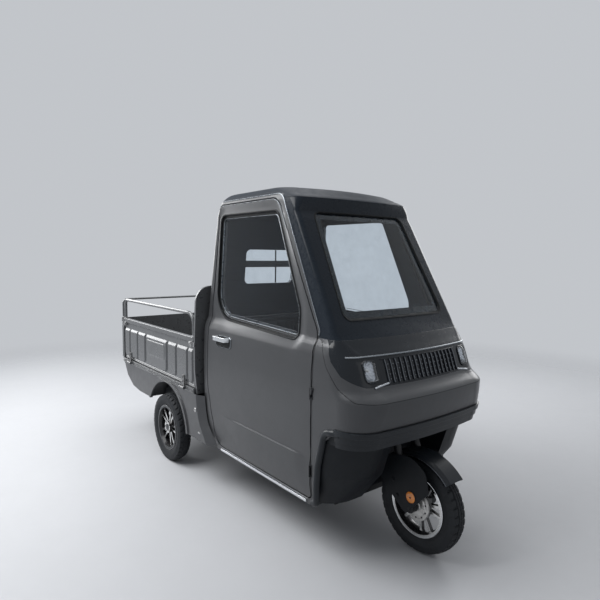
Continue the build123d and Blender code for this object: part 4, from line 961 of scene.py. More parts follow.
def side_moulding(bm):
    sunk = [-0.0085 * float(smooth_step((x - 1.195) / 0.050)) for x, z in bead_line]
    path = [on_side(x, z, out) for (x, z), out in zip(bead_line, sunk)]
    sweep(bm, path, [side_normal(x, z) for x, z in bead_line], dome(0.037, 0.0165, 12, 0.006))


mouldings = both_sides("side_moulding", side_moulding, bumper_black, hull_bodies, slot="bumper_plastic")
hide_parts("side_mouldings")

# The skirts turn in behind the cab, and dark liners close the rear wheel arches
skirt_edge = np.array([(0.008, 0.290), (-0.040, 0.355), (-0.080, 0.407), (-0.1015, 0.445), (-0.118, 0.500),
                       (-0.128, 0.550), (-0.134, 0.600)])


def skirt_return(bm):
    loops = []
    for x, z in resample(skirt_edge, 40, close=False):
        near = float(side_y(x + 0.06, z)) + 0.0055
        rows = [(-0.004, 0.5624), (0.006, 0.5614), (0.062, near + 0.002), (0.062, near), (0.004, 0.5585),
                (-0.004, 0.5595)]
        loops.append([Vector((x + a, -y, z)) for a, y in rows])
    loft(bm, loops)


both_sides("skirt_return", skirt_return, paint, hull_bodies, slot="body_paint")
arch_place = (-0.620, 0.250)
liner_outer, liner_inner = 0.3385, 0.3360
liner_near_y, liner_far_y, liner_sheet = -0.556, -0.450, 0.0025


def arch_arc(radius, first, last, count):
    """Points round the rear wheel arch, between two angles in degrees."""
    turns = np.radians(np.linspace(first, last, count))
    return [(arch_place[0] + radius * cos(a), arch_place[1] + radius * sin(a)) for a in turns]


def arch_liner(bm):
    shell = arch_arc(liner_outer, 9, 150, 72) + arch_arc(liner_inner, 9, 150, 72)[::-1]
    slab(bm, shell, liner_far_y, liner_near_y)
    slab(bm, arch_arc(liner_inner, 24, 150, 60), liner_far_y, liner_far_y - liner_sheet)


both_sides("arch_liner", arch_liner, black_plastic, hull_bodies)

# Front panel: trim line, slat caps in a lighter grey that paints the slats' highlights, studs between the slats, lamps
trim_z = 1.064
bm = bmesh.new()
front_strip(bm, [(y, trim_z) for y in np.linspace(-0.466, 0.466, 110)], dome(0.0100, 0.0062))
finished("nose_trim", bm, rail_metal, "chassis")

slat_gaps = 16
slat_pitch = 0.540 / slat_gaps
# Painted highlight: the caps' lighter grey stands for the highlight along each slat
bm = bmesh.new()
for k in range(slat_gaps + 1):
    y = (k - slat_gaps / 2) * slat_pitch
    front_strip(bm, [(y, z) for z in np.linspace(0.9365, 1.0435, 16)], dome(0.0052, 0.0026, 6), 0.0055)
finished("slat_highlight_caps", bm, slat_grey, "chassis")
bm = bmesh.new()
for k in range(slat_gaps):
    y = (k - (slat_gaps - 1) / 2) * slat_pitch
    for z in (0.952, 0.975, 0.998, 1.021):
        centre = on_front(y, z, 0.0)
        bmesh.ops.create_icosphere(bm, subdivisions=2, radius=0.0042, matrix=Matrix.Translation(centre))
finished("grille_studs", bm, slat_grey, "chassis", angle=60)
bm = bmesh.new()
for z in (0.934, 1.047):
    front_strip(bm, [(y, z) for y in np.linspace(-0.292, 0.292, 60)], dome(0.006, 0.0035, 6))
finished("grille_rims", bm, panel_black, "chassis")

lamp_y, lamp_z = 0.367, 0.998
lamp_loop = resample(rounded_box(-0.038, 0.038, -0.049, 0.049, 0.022), 80)


def lamp_ring(grow, out, scale=1.0, ripple=0.0):
    """The headlamp's outline grown and scaled, moved forward by out, with a ripple round it."""
    made = []
    for a, b in offset_loop(lamp_loop, grow) * scale:
        wave = ripple * cos(12 * atan2(b, a))
        made.append(Vector((float(front_x(a - lamp_y, b + lamp_z)) + out + wave, a - lamp_y, b + lamp_z)))
    return made


def lamp_bezel(bm):
    rows = [(0.004, -0.002), (0.004, 0.004), (0.0015, 0.0065), (-0.0015, 0.0060), (-0.003, 0.002), (-0.003, -0.010),
            (0.0, -0.012)]
    loft(bm, [lamp_ring(*row) for row in rows], close=True)


def lamp_bowl(bm):
    front = [(1.0, -0.003, 0), (0.94, -0.011, 0.0006), (0.82, -0.019, 0.0014), (0.62, -0.026, 0.0018),
             (0.38, -0.031, 0.0008), (0.20, -0.032, 0)]
    back = [(0.20, -0.035, 0), (0.62, -0.030, 0), (0.94, -0.015, 0), (1.0, -0.006, 0)]
    loft(bm, [lamp_ring(-0.003, out, scale, wave) for scale, out, wave in front + back], close=True)


def lamp_bulb(bm):
    x = float(front_x(lamp_y, lamp_z))
    lathe(bm, [(-0.036, 0.0075), (-0.026, 0.0075), (-0.026, 0.0055), (-0.014, 0.0055), (-0.011, 0.0035),
               (-0.0105, 0.001)], (x, -lamp_y, lamp_z), "X", 20)


def lamp_lens(bm):
    outer = [(1.0, 0.0010), (1.0, 0.0045), (0.92, 0.0068), (0.72, 0.0090), (0.45, 0.0104), (0.15, 0.0110),
             (0.01, 0.0111)]
    inner = [(0.01, 0.0088), (0.15, 0.0087), (0.45, 0.0080), (0.72, 0.0066), (0.90, 0.0044), (0.95, 0.0010)]
    loft(bm, [lamp_ring(-0.0032, out, scale) for scale, out in outer + inner], close=True)


both_sides("headlamp_bezel", lamp_bezel, panel_black, hull_bodies)
both_sides("headlamp_bowl", lamp_bowl, reflector_metal, hull_bodies)
both_sides("headlamp_bulb", lamp_bulb, dial_mark, hull_bodies)
lenses = both_sides("headlamp_lens", lamp_lens, lamp_glass, hull_bodies, slot="lamp_glass")
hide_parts("headlamps")


def corner_light(bm):
    ts = np.linspace(0, 1, 28)
    line = [(-0.368 + 0.100 * t, 0.9215 + 0.016 * t ** 0.8) for t in ts]
    front_strip(bm, line, dome(0.011, 0.0055), 0.0004)


both_sides("corner_light", corner_light, reflector_metal, hull_bodies)

# Side gates and tailgate: pressed sheet with raised panels under a rail, a bent tube and hinge straps
panel_shares = [(0.010, 0.095), (0.107, 0.225), (0.237, 0.350), (0.370, 0.665), (0.685, 0.790), (0.802, 0.925),
                (0.937, 0.990)]
gate_low, panel_low, panel_high, rail_low, gate_high = 0.640, 0.666, 0.906, 0.954, 0.990
press_depth = 0.011
plate_low, plate_high, plate_rise = 0.752, 0.872, 0.0035
gate_bead_zs, gate_bead_rise = (0.6465, 0.6565), 0.0026


def rounded_distance(a, b, a0, a1, b0, b1, r):
    """Distance of points to a rectangle with round corners, negative inside."""
    qa = np.abs(a - (a0 + a1) / 2) - (a1 - a0) / 2 + r
    qb = np.abs(b - (b0 + b1) / 2) - (b1 - b0) / 2 + r
    return np.hypot(np.maximum(qa, 0), np.maximum(qb, 0)) + np.minimum(np.maximum(qa, qb), 0) - r


def gate_height(s, z, panels, plates):
    """How far the gate's face stands out from its sheet."""
    h = np.zeros_like(s)
    for start, end in panels:
        r = min(0.032, (end - start) * 0.4)
        body = np.clip(-rounded_distance(s, z, start, end, panel_low, panel_high + 0.05, r) / 0.009, 0, 1)
        top = np.clip((panel_high - z) / 0.020, 0, 1)
        h = np.maximum(h, press_depth * np.minimum(smooth_step(body), top))
    for start, end in plates:
        inner = np.clip(-rounded_distance(s, z, start, end, plate_low, plate_high, 0.022) / 0.006, 0, 1)
        h += plate_rise * smooth_step(inner) * (h > 0.006)
    h = np.maximum(h, press_depth * np.clip((z - rail_low + 0.003) / 0.006, 0, 1))
    for middle in gate_bead_zs:
        h = np.maximum(h, gate_bead_rise * smooth_step(1 - np.abs(z - middle) / 0.004))
    h -= 0.003 * np.clip((z - gate_high + 0.004) / 0.004, 0, 1) ** 2
    return h


def gate_sheet(bm, length, panels, plates, place, thickness):
    """Closed gate: place(s, z, depth) gives a point, with depth measured inwards from the face."""
    fine = np.array([-0.003, -0.001, 0.001, 0.003, 0.005, 0.007, 0.009, 0.013, 0.018, 0.025, 0.032])
    lines = {0.0, length}
    for start, end in panels + plates:
        lines.update(np.round(start + fine, 5))
        lines.update(np.round(end - fine, 5))
    lines.update(np.round(np.arange(0.02, length, 0.03), 5))
    ss = [0.0]
    for s in sorted(v for v in lines if 0 <= v <= length):
        if s - ss[-1] > 0.0009:
            ss.append(s)
    ss[-1] = length
    zs = np.unique(np.round(np.concatenate([
        np.arange(gate_low, 0.665, 0.0014), panel_low + fine, plate_low + fine[2:7], plate_high - fine[2:7],
        np.arange(0.70, 0.88, 0.03), panel_high - np.array([0.026, 0.024, 0.020, 0.014, 0.008, 0.003, 0, -0.003]),
        [0.93, 0.951, 0.953, 0.955, 0.957, 0.97, 0.984, 0.986, 0.988, 0.989, gate_high],
    ]), 5))
    keep = [zs[0]]
    for z in zs[1:]:
        if z - keep[-1] > 0.0008:
            keep.append(z)
    keep[-1] = gate_high
    s, z = np.meshgrid(np.array(ss), np.array(keep), indexing="ij")
    h = gate_height(s, z, panels, plates)
    grid = [[bm.verts.new(place(s[i, k], z[i, k], press_depth - h[i, k])) for k in range(s.shape[1])]
            for i in range(s.shape[0])]
    for i in range(len(grid) - 1):
        for k in range(len(grid[0]) - 1):
            bm.faces.new((grid[i][k], grid[i + 1][k], grid[i + 1][k + 1], grid[i][k + 1]))
    rim = [row[0] for row in grid] + grid[-1][1:] + [row[-1] for row in grid[::-1]][1:] + grid[0][::-1][1:-1]
    spots = [(a, b) for a, b in [(s[i, 0], z[i, 0]) for i in range(len(grid))]
             + [(s[-1, k], z[-1, k]) for k in range(1, s.shape[1])]
             + [(s[i, -1], z[i, -1]) for i in range(len(grid) - 2, -1, -1)]
             + [(s[0, k], z[0, k]) for k in range(s.shape[1] - 2, 0, -1)]]
    back = [bm.verts.new(place(a, b, thickness)) for a, b in spots]
    bridge(bm, rim, back)
    bm.faces.new(back)


gate_length = gate_front_x - gate_rear_x
side_panels = [(a * gate_length, b * gate_length) for a, b in panel_shares]
side_plates = [(side_panels[3][0] + 0.020, side_panels[3][1] - 0.026)]
tube_z, tube_foot_z, tube_half_width, tube_inset = 1.152, 0.985, 0.548, 0.014
tail_tube_x = -1.563


def tube_collar(bm, x, y, radii, count):
    """Collar where a gate's tube enters its rail."""
    lathe(bm, list(zip((0.988, 0.9915, 0.995, 0.999), radii)), (x, y, 0), "Z", count)


def gate_hinge(bm, at, axis, knuckle_place, bolt_axis, place):
    """Hinge strap, knuckle and bolts; place(along, out, z) gives a point from the hinge's middle."""
    rows = [(-0.020, 0.624), (0.020, 0.624), (0.020, 0.690), (0.012, 0.706), (-0.012, 0.706), (-0.020, 0.690)]
    loft(bm, [[place(a, out, z) for a, z in rows] for out in (-0.001, 0.0065, 0.008)])
    lathe(bm, [(at - 0.020, 0.0082), (at - 0.019, 0.009), (at + 0.019, 0.009), (at + 0.020, 0.0082)],
          knuckle_place, axis, 24)
    for z in (0.660, 0.690):
        bolt_head(bm, place(0, 0.008, z), 0.0050, 0.005, bolt_axis)


def side_gate(bm):
    gate_sheet(bm, gate_length, side_panels, side_plates,
               lambda s, z, d: (gate_rear_x + s, -bed_half_width + d, z), 0.028)


def side_tube(bm):
    rear_x, front_end_x = gate_rear_x + tube_inset, gate_front_x - tube_inset
    corners = [(rear_x, tube_foot_z), (rear_x, tube_z), (front_end_x, tube_z), (front_end_x, tube_foot_z)]
    line = resample(fillet(corners, [0, 0.034, 0.078, 0], 0.006, close=False), 130, close=False)
    carry(bm, [Vector((x, -tube_half_width, z)) for x, z in line], (0, -1, 0), circle(0.012, 16))
    for x in (rear_x, front_end_x):
        tube_collar(bm, x, -tube_half_width, (0.0125, 0.0165, 0.0165, 0.0130), 24)


def side_straps(bm):
    for x in side_hinge_xs:
        gate_hinge(bm, x, "X", (0, -0.578, 0.618), "Y", lambda a, out, z, x=x: (x + a, -bed_half_width - out, z))


both_sides("side_gate_sheet", side_gate, bed_paint, gate_bodies, slot="bed_paint", replaces=["side_gate"], angle=50)
both_sides("side_gate_tube", side_tube, bed_paint, gate_bodies, slot="bed_paint")
both_sides("side_gate_hinges", side_straps, hinge_metal, gate_bodies, bevel=0.0008)

tail_face, tail_thick = -1.572, 0.018
tail_panel_pitch, tail_panel_half = 0.2248, 0.095
tail_middles = [bed_half_width + (k - 2) * tail_panel_pitch for k in range(5)]
tail_panels = [(middle - tail_panel_half, middle + tail_panel_half) for middle in tail_middles]
bm = bmesh.new()
gate_sheet(bm, 2 * bed_half_width, tail_panels, [(tail_panels[2][0] + 0.02, tail_panels[2][1] - 0.02)],
           lambda s, z, d: (tail_face + d, s - bed_half_width, z), tail_thick)
finished("tailgate_sheet", bm, bed_paint, "tailgate_body", slot="bed_paint", replaces=["tailgate"], angle=50)
bm = bmesh.new()
corners = [(-tube_half_width, tube_foot_z), (-tube_half_width, tube_z), (tube_half_width, tube_z),
           (tube_half_width, tube_foot_z)]
line = resample(fillet(corners, [0, 0.034, 0.034, 0], 0.006, close=False), 120, close=False)
carry(bm, [Vector((tail_tube_x, y, z)) for y, z in line], (-1, 0, 0), circle(0.009, 14))
for y in (-tube_half_width, tube_half_width):
    tube_collar(bm, tail_tube_x, y, (0.010, 0.0132, 0.0132, 0.0100), 20)
finished("tailgate_tube", bm, bed_paint, "tailgate_body", slot="bed_paint")
bm = bmesh.new()
for y in tail_hinge_ys:
    gate_hinge(bm, y, "Y", (-1.581, 0, 0.618), "X", lambda a, out, z, y=y: (tail_face - out, y + a, z))
finished("tailgate_hinges", bm, hinge_metal, "tailgate_body", bevel=0.0008)

# Ribs along the floor's edge, broken at the hinges
rib_zs = (0.6065, 0.6145, 0.6225, 0.6305)


def floor_ribs(bm):
    spans = [(-1.536, side_hinge_xs[0] - 0.046), (side_hinge_xs[0] + 0.046, side_hinge_xs[1] - 0.046),
             (side_hinge_xs[1] + 0.046, -0.172)]
    for x0, x1 in spans:
        for z in rib_zs:
            ends = [Vector((x, -bed_half_width, z)) for x in (x0, x1)]
            carry(bm, ends, (0, -1, 0), dome(0.0050, 0.0042, 6, 0.001))


both_sides("floor_ribs", floor_ribs, bed_paint, hull_bodies, slot="bed_paint")


# Latches at the ends of the side gates
def gate_latch(bm):
    for x, way in ((gate_front_x - 0.030, 1), (gate_rear_x + 0.030, -1)):
        low, high = sorted((x - way * 0.016, x + way * 0.018))
        box(bm, (low, -0.5665, 0.926), (high, -0.5615, 0.962))
        line = [Vector((x - way * 0.006, -0.571, 0.958)), Vector((x, -0.576, 0.944)),
                Vector((x + way * 0.010, -0.574, 0.930)), Vector((x + way * 0.014, -0.570, 0.918))]
        carry(bm, line, (0, -1, 0), circle(0.0042, 10))
        lathe(bm, [(0, 0.0075), (-0.006, 0.0075), (-0.008, 0.006)], (x - way * 0.004, -0.5655, 0.950), "Y", 20)


def latch_keeper(bm):
    box(bm, (-0.1640, -0.5685, 0.926), (-0.1470, -0.5600, 0.958))
    box(bm, (-1.5450, -0.5685, 0.926), (-1.5270, -0.5600, 0.958))


both_sides("gate_latch", gate_latch, satin_metal, gate_bodies, bevel=0.001)
both_sides("latch_keeper", latch_keeper, satin_metal, hull_bodies, bevel=0.0015)


# Charging socket and drain slot in the skirt
def socket(bm):
    lathe(bm, [(0.002, 0.0150), (-0.0030, 0.0150), (-0.0045, 0.0135), (-0.0045, 0.0115), (-0.0015, 0.0105),
               (-0.0015, 0.002)], (-0.1487, -0.560, 0.4914), "Y", 32)
    points = rounded_box(-0.108, -0.076, 0.3405, 0.3515, 0.0050, 0.002)
    slab(bm, points, -0.558, -0.5625, "Y", inset=0.001)


both_sides("skirt_socket", socket, satin_metal, hull_bodies)


# Tyres with blocks cut into the tread
tyre_profile = [(0.0330, 0.1600), (0.0345, 0.1680), (0.0385, 0.1740), (0.0408, 0.1765), (0.0412, 0.1800),
                (0.0430, 0.1850), (0.0455, 0.1930), (0.0470, 0.2010), (0.0472, 0.2060), (0.0478, 0.2075),
                (0.0472, 0.2092), (0.0466, 0.2170), (0.0452, 0.2250), (0.0434, 0.2320)]


tread_pitches = 36
tread_pitch = 2 * pi * 0.247 / tread_pitches
tread_half_width, tread_slant = 0.0420, 9.0
shoulder_start = 0.215


def on_wheel(centre, radius, angle, out=0.0):
    """Point round a wheel, moved along its axle."""
    return Vector((centre[0] + radius * cos(angle), centre[1] + out, centre[2] + radius * sin(angle)))


def groove(distance, width, depth):
    return depth * (1 - smooth_step((np.abs(distance) - width / 2) / 0.0012))


def tread_depth(u, y):
    """Depth of the grooves at u pitches round the tyre and y across it."""
    side = np.abs(y)
    wave = np.abs((u % 1) - 0.5) * 2 - 0.5
    cut = groove(y - 0.0035 * wave, 0.0030, 0.0045)
    cut = np.maximum(cut, groove(side - 0.0175 - 0.0030 * wave, 0.0042, 0.0060))
    slant = (u + side * tread_slant + np.where(y > 0, 0.5, 0.0)) % 1
    cross = groove((np.minimum(slant, 1 - slant)) * tread_pitch, 0.0086, 0.0075)
    cut = np.maximum(cut, cross * smooth_step((side - 0.0175) / 0.003))
    thin = (u * 2 + side * 24.0) % 1
    sipe = groove((np.minimum(thin, 1 - thin)) * tread_pitch / 2, 0.0022, 0.0026)
    return np.maximum(cut, sipe * (side < 0.0150))


def tyre(name, centre, body, node):
    steps = tread_pitches * 9
    angles = np.arange(steps) * 2 * pi / steps
    u = angles / (2 * pi) * tread_pitches
    ys = np.linspace(tread_half_width, -tread_half_width, 52)
    crown = 0.2500 - 0.0095 * np.abs(ys / tread_half_width) ** 2.2
    rows = [(y, r, 0) for y, r in tyre_profile] + [(y, r, 1) for y, r in zip(ys, crown)]
    rows += [(-y, r, 0) for y, r in tyre_profile[::-1]]
    bm = bmesh.new()
    rings = []
    for y, r, cut in rows:
        depth = np.zeros(steps)
        if cut:
            depth = tread_depth(u, np.full(steps, y)) * (1 - 0.5 * smooth_step((abs(y) - 0.037) / 0.005))
        elif r > shoulder_start:
            slant = (u + tread_half_width * tread_slant + (0.5 if y > 0 else 0.0)) % 1
            depth = groove(np.minimum(slant, 1 - slant) * tread_pitch, 0.0084, 0.0055)
            depth *= smooth_step((r - shoulder_start) / 0.012)
        rings.append([bm.verts.new(on_wheel(centre, q, a, y)) for q, a in zip(r - depth, angles)])
    join(bm, rings, close=True)
    return finished(name, bm, tyre_rubber, body, slot="tyre_rubber", replaces=[node], angle=32)


front_hub = (front_axle_x, 0.0, axle_z)
wheels = [
    ("front", front_hub, "front_wheel", "front_tyre"),
    ("rear_right", (rear_axle_x, -rear_half_track, axle_z), "rear_wheel_right", "rear_tyre_right"),
    ("rear_left", (rear_axle_x, rear_half_track, axle_z), "rear_wheel_left", "rear_tyre_left"),
]
for label, centre, body, node in wheels:
    tyre(f"tyre_{label}", centre, body, node)


# Wheel fittings: brake drum's face, caps, nuts, valves and the rims' lips
bm = bmesh.new()
drum_face = [(-0.030, 0.0790), (-0.0395, 0.0790), (-0.0415, 0.0770), (-0.0415, 0.0680), (-0.0395, 0.0660),
             (-0.0395, 0.0600), (-0.0430, 0.0570), (-0.0445, 0.0400), (-0.0445, 0.0300), (-0.0480, 0.0270),
             (-0.0490, 0.0180), (-0.0490, 0.0090)]
lathe(bm, drum_face, front_hub, "Y", 64)
for k in range(20):
    a = 2 * pi * k / 20
    carry(bm, [on_wheel(front_hub, r, a, -0.0412) for r in (0.032, 0.0565)], (0, -1, 0), dome(0.0040, 0.0040, 6))
finished("brake_drum", bm, drum_metal, "front_wheel")
bm = bmesh.new()
for k in range(10):
    a = 2 * pi * (k + 0.5) / 10
    lathe(bm, [(0, 0.0052), (-0.0012, 0.0052), (-0.0014, 0.0036)], on_wheel(front_hub, 0.063, a, -0.0390), "Y", 14)
finished("drum_holes", bm, seal_rubber, "front_wheel")
valve_angle = 0.35
for label, centre, body, _ in wheels:
    out = 1 if label == "rear_left" else -1
    bm = bmesh.new()
    if label == "front":
        lathe(bm, [(0.037, 0.034), (0.040, 0.034), (0.043, 0.030), (0.043, 0.010)], centre, "Y", 32)
    else:
        face = out * 0.036
        lathe(bm, [(face - out * 0.001, 0.0250), (face + out * 0.0015, 0.0250), (face + out * 0.0028, 0.0225),
                   (face + out * 0.0030, 0.0100)], centre, "Y", 36)
    finished(f"hub_cap_{label}", bm, panel_black, body)
    bm = bmesh.new()
    for k in range(5):
        a = 2 * pi * (k + 0.5) / 5
        if label == "front":
            bolt_head(bm, on_wheel(centre, 0.039, a, 0.038), 0.0046, 0.005, "Y", 1)
        else:
            bolt_head(bm, on_wheel(centre, 0.0345, a, out * 0.036), 0.0050, 0.0032, "Y", out)
    finished(f"wheel_nuts_{label}", bm, hinge_metal, body)
    bm = bmesh.new()
    foot = on_wheel(centre, 0.1405, valve_angle, out * 0.010)
    tip = foot + Vector((-0.020 * cos(valve_angle), out * 0.016, -0.020 * sin(valve_angle)))
    carry(bm, [foot, foot.lerp(tip, 0.5), tip], (0, out, 0.2), circle(0.0038, 10))
    finished(f"valve_{label}", bm, seal_rubber, body)
    bm = bmesh.new()
    inner = 0.1590 if label == "front" else 0.1480
    lip = [(0.0385 * out, inner), (0.0398 * out, inner), (0.0402 * out, 0.1640), (0.0385 * out, 0.1655)]
    turns = np.linspace(0, 2 * pi, 96, endpoint=False)
    loft(bm, [[on_wheel(centre, r, a, y) for a in turns] for y, r in lip], close=True)
    finished(f"rim_lip_{label}", bm, bright if label == "front" else panel_black, body)


# Reflectors and bolts on the fork's covers, and the fender's edge bead, whose lighter grey paints the highlight along
# the fender's edge
reflector_x, reflector_z = 1.3515, 0.3152


def cover_reflector(bm):
    lathe(bm, [(-0.0985, 0.0290), (-0.1015, 0.0290), (-0.1035, 0.0260), (-0.1048, 0.0150), (-0.1050, 0.0010)],
          (reflector_x, 0, reflector_z), "Y", 40)


def cover_ring(bm):
    lathe(bm, [(-0.0985, 0.0330), (-0.1008, 0.0330), (-0.1022, 0.0315), (-0.1022, 0.0290), (-0.0990, 0.0288)],
          (reflector_x, 0, reflector_z), "Y", 40)
    bolt_head(bm, (reflector_x, -0.1045, reflector_z), 0.0040, 0.0022)
    for x, z in ((1.2284, 0.3691), (1.260, 0.293)):
        bolt_head(bm, (x, -0.099, z), 0.0095, 0.0060)


def fender_edge_highlight(bm):
    angles = np.radians(np.linspace(42.4, 135.6, 60))
    line = [on_wheel(front_hub, 0.2668, a, -0.0612) for a in angles]
    carry(bm, line, (0, -1, 0), circle(0.0028, 10))


steering_bodies = ("steering", "steering")
both_sides("cover_reflector", cover_reflector, amber, steering_bodies)
both_sides("cover_bolts", cover_ring, black_plastic, steering_bodies)
# Painted highlight: the edge bead's lighter grey stands for the highlight along the fender's edge
both_sides("fender_edge_highlight", fender_edge_highlight, slat_grey, steering_bodies)


# Rear lamp lenses with ribs, and their housings
def rear_lens(bm, y0, y1):
    points = rounded_box(y0, y1, 0.4680, 0.5320, 0.006, 0.003)
    slab(bm, points, -1.5625, -1.5755, "X", inset=0.002, crown=0.2)
    for k in range(7):
        z = 0.476 + k * 0.008
        ends = [Vector((-1.5753, y, z)) for y in (y0 + 0.005, y1 - 0.005)]
        carry(bm, ends, (-1, 0, 0), dome(0.0060, 0.0010, 6, 0.001))


reds = both_sides("tail_lamp_red", lambda bm: rear_lens(bm, -0.4290, -0.3280), red_lens, hull_bodies,
                  slot="tail_lamp_glass")
both_sides("tail_lamp_amber", lambda bm: rear_lens(bm, -0.4720, -0.4310), amber, hull_bodies,
           slot="tail_lamp_glass")
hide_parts("tail_lamps")


def rear_housing(bm):
    outer = resample(rounded_box(-0.4760, -0.3240, 0.4640, 0.5360, 0.008), 80)
    table = [(0.0, -1.5610), (0.0, -1.5715), (-0.0012, -1.5730), (-0.0032, -1.5730), (-0.0036, -1.5615)]
    loft(bm, [[Vector((x, a, b)) for a, b in offset_loop(outer, grow)] for grow, x in table], close=True)


both_sides("tail_lamp_housing", rear_housing, black_plastic, hull_bodies)

# Inside: seat, handlebar grips, levers and dial


pad_cell = 0.0065
channel_depth, channel_width = 0.0075, 0.0065
welt_inset, welt_depth, welt_width = 0.050, 0.0060, 0.0060


def pad(name, low, high, radius, face, crown, channels, node):
    """Crowned leather pad that fills a box; face is the axis it swells along, channels are sewn
    lines at places along Y."""
    centre = np.array([(a + b) / 2 for a, b in zip(low, high)])
    half = np.array([(b - a) / 2 for a, b in zip(low, high)])
    counts = [max(6, round(2 * h / pad_cell)) for h in half]
    bm = bmesh.new()
    for axis in range(3):
        a, b = [k for k in range(3) if k != axis]
        for sign in (-1, 1):
            grid = []
            for i in range(counts[a] + 1):
                row = []
                for j in range(counts[b] + 1):
                    p = np.zeros(3)
                    p[axis], p[a], p[b] = sign, 2 * i / counts[a] - 1, 2 * j / counts[b] - 1
                    row.append(bm.verts.new(p * half))
                grid.append(row)
            for i in range(counts[a]):
                for j in range(counts[b]):
                    bm.faces.new((grid[i][j], grid[i + 1][j], grid[i + 1][j + 1], grid[i][j + 1]))
    bmesh.ops.remove_doubles(bm, verts=bm.verts, dist=0.00001)
    p = np.array([v.co for v in bm.verts])
    inner = np.clip(p, -(half - radius), half - radius)
    d = p - inner
    p = inner + d / np.maximum(np.linalg.norm(d, axis=1), 1e-9)[:, None] * radius
    others = [k for k in range(3) if k != face]
    t = [1 - (p[:, k] / half[k]) ** 2 for k in others]
    share = np.clip((p[:, face] / half[face] + 1) / 2, 0, 1)
    for k, o in ((0, 1), (1, 0)):
        p[:, others[k]] *= 1 - 0.020 * t[o] * (1 - share * 0.4)
    edge = np.minimum(half[others[0]] - np.abs(p[:, others[0]]), half[others[1]] - np.abs(p[:, others[1]]))
    lift = crown * (np.clip(t[0], 0, 1) * np.clip(t[1], 0, 1)) ** 0.6
    inside = smooth_step((edge - 0.048) / 0.014)
    puff = np.zeros(len(p))
    for y in channels:
        puff += channel_depth * np.exp(-((p[:, 1] - y) / channel_width) ** 2)
    lift -= puff * inside + welt_depth * np.exp(-((edge - welt_inset) / welt_width) ** 2)
    p[:, face] += lift * share ** 3
    for v, place in zip(bm.verts, p + centre):
        v.co = place
    made = finished(name, bm, leather, "chassis", slot="seat_cover", replaces=[node], angle=80)
    return made


seat_channels = [-0.20, -0.12, -0.04, 0.04, 0.12, 0.20]
pad("seat_cushion_pad", (-0.004, -0.294, 0.561), (0.426, 0.294, 0.640), 0.034, 2, 0.013, seat_channels, "seat_cushion")
pad("seat_back_pad", (-0.0925, -0.294, 0.656), (-0.036, 0.294, 1.126), 0.026, 0, 0.013, seat_channels, "seat_back")
bm = bmesh.new()
line = resample(rounded_box(0.002, 0.420, -0.288, 0.288, 0.034), 160)
carry(bm, [Vector((x, y, 0.6315)) for x, y in line], (0, 0, 1), circle(0.0042, 10), close=True)
line = resample(rounded_box(-0.288, 0.288, 0.662, 1.120, 0.028), 160)
carry(bm, [Vector((-0.0455, y, z)) for y, z in line], (1, 0, 0), circle(0.0042, 10), close=True)
finished("seat_piping", bm, thread, "chassis")

grip_end, grip_way = (0.91175, 0.290, 1.04649), (0.1716, 0.9832, 0.0624)
for label, side in (("right", -1), ("left", 1)):
    end = Vector((grip_end[0], side * grip_end[1], grip_end[2]))
    along = Vector((grip_way[0], -side * grip_way[1], grip_way[2]))
    bm = bmesh.new()
    for k in range(17):
        p = end + along * (0.006 + k * 0.0062)
        carry(bm, [p, p + along * 0.0032], (0, 0, 1), circle(0.0184, 24))
    carry(bm, [end - along * 0.014, end - along * 0.011, end], (0, 0, 1), circle(0.0140, 24))
    finished(f"grip_ribs_{label}", bm, seal_rubber, "steering")
    bm = bmesh.new()
    forward = Vector((0.94, 0, 0.34))
    root = end + along * 0.150 + forward * 0.024
    line = [root, root + forward * 0.016 - along * 0.020, root + forward * 0.026 - along * 0.070,
            root + forward * 0.022 - along * 0.120, root + forward * 0.026 - along * 0.150]
    smooth = [Vector(p) for p in resample(line, 24, close=False)]
    carry(bm, smooth, (0, 0, 1), [(a * 1.4, b) for a, b in circle(0.0045, 12)])
    ball = Matrix.Translation(smooth[-1])
    bmesh.ops.create_icosphere(bm, subdivisions=2, radius=0.0075, matrix=ball)
    finished(f"brake_lever_{label}", bm, satin_metal, "steering", angle=60)
    bm = bmesh.new()
    carry(bm, [end + along * 0.132, end + along * 0.168], (0, 0, 1), circle(0.0195, 24))
    finished(f"switch_block_{label}", bm, dash_plastic, "steering", bevel=0.002)

pod_x, pod_z = 1.01187, 1.11059
pod_place = Matrix((
    (cos(rake), 0, -sin(rake), pod_x),
    (0, 1, 0, 0),
    (sin(rake), 0, cos(rake), pod_z),
    (0, 0, 0, 1),
))


def pod_piece(name, material, build):
    bm = bmesh.new()
    build(bm)
    bmesh.ops.transform(bm, matrix=pod_place, verts=bm.verts)
    return finished(name, bm, material, "steering")


def dial_ticks(bm):
    for k in range(13):
        a = radians(-130 + k * 260 / 12)
        turned = Vector((cos(a), sin(a), 0))
        size = 0.0055 if k % 3 == 0 else 0.0035
        carry(bm, [turned * 0.0300, turned * (0.0300 - size)], (0, 0, 1),
              [(-0.0005, 0.0008), (0.0005, 0.0008), (0.0005, 0.0014), (-0.0005, 0.0014)])
    a = radians(-130)
    turned = Vector((cos(a), sin(a), 0))
    carry(bm, [turned * -0.006, turned * 0.024], (0, 0, 1),
          [(-0.0009, 0.0012), (0.0009, 0.0012), (0.0005, 0.0022), (-0.0005, 0.0022)])


pod_piece("dial_face", dial_face, lambda bm: lathe(bm, [(0.0, 0.034), (0.0009, 0.034)], (0, 0, 0), "Z", 64))
pod_piece("dial_ticks", dial_mark, dial_ticks)
pod_piece("dial_rim", slat_grey, lambda bm: loft(bm, [
    [Vector((r * cos(a), r * sin(a), c)) for a in np.linspace(0, 2 * pi, 64, endpoint=False)]
    for r, c in [(0.0335, 0.0), (0.0335, 0.0032), (0.0350, 0.0045), (0.0375, 0.0040), (0.0385, 0.0)]], close=True))


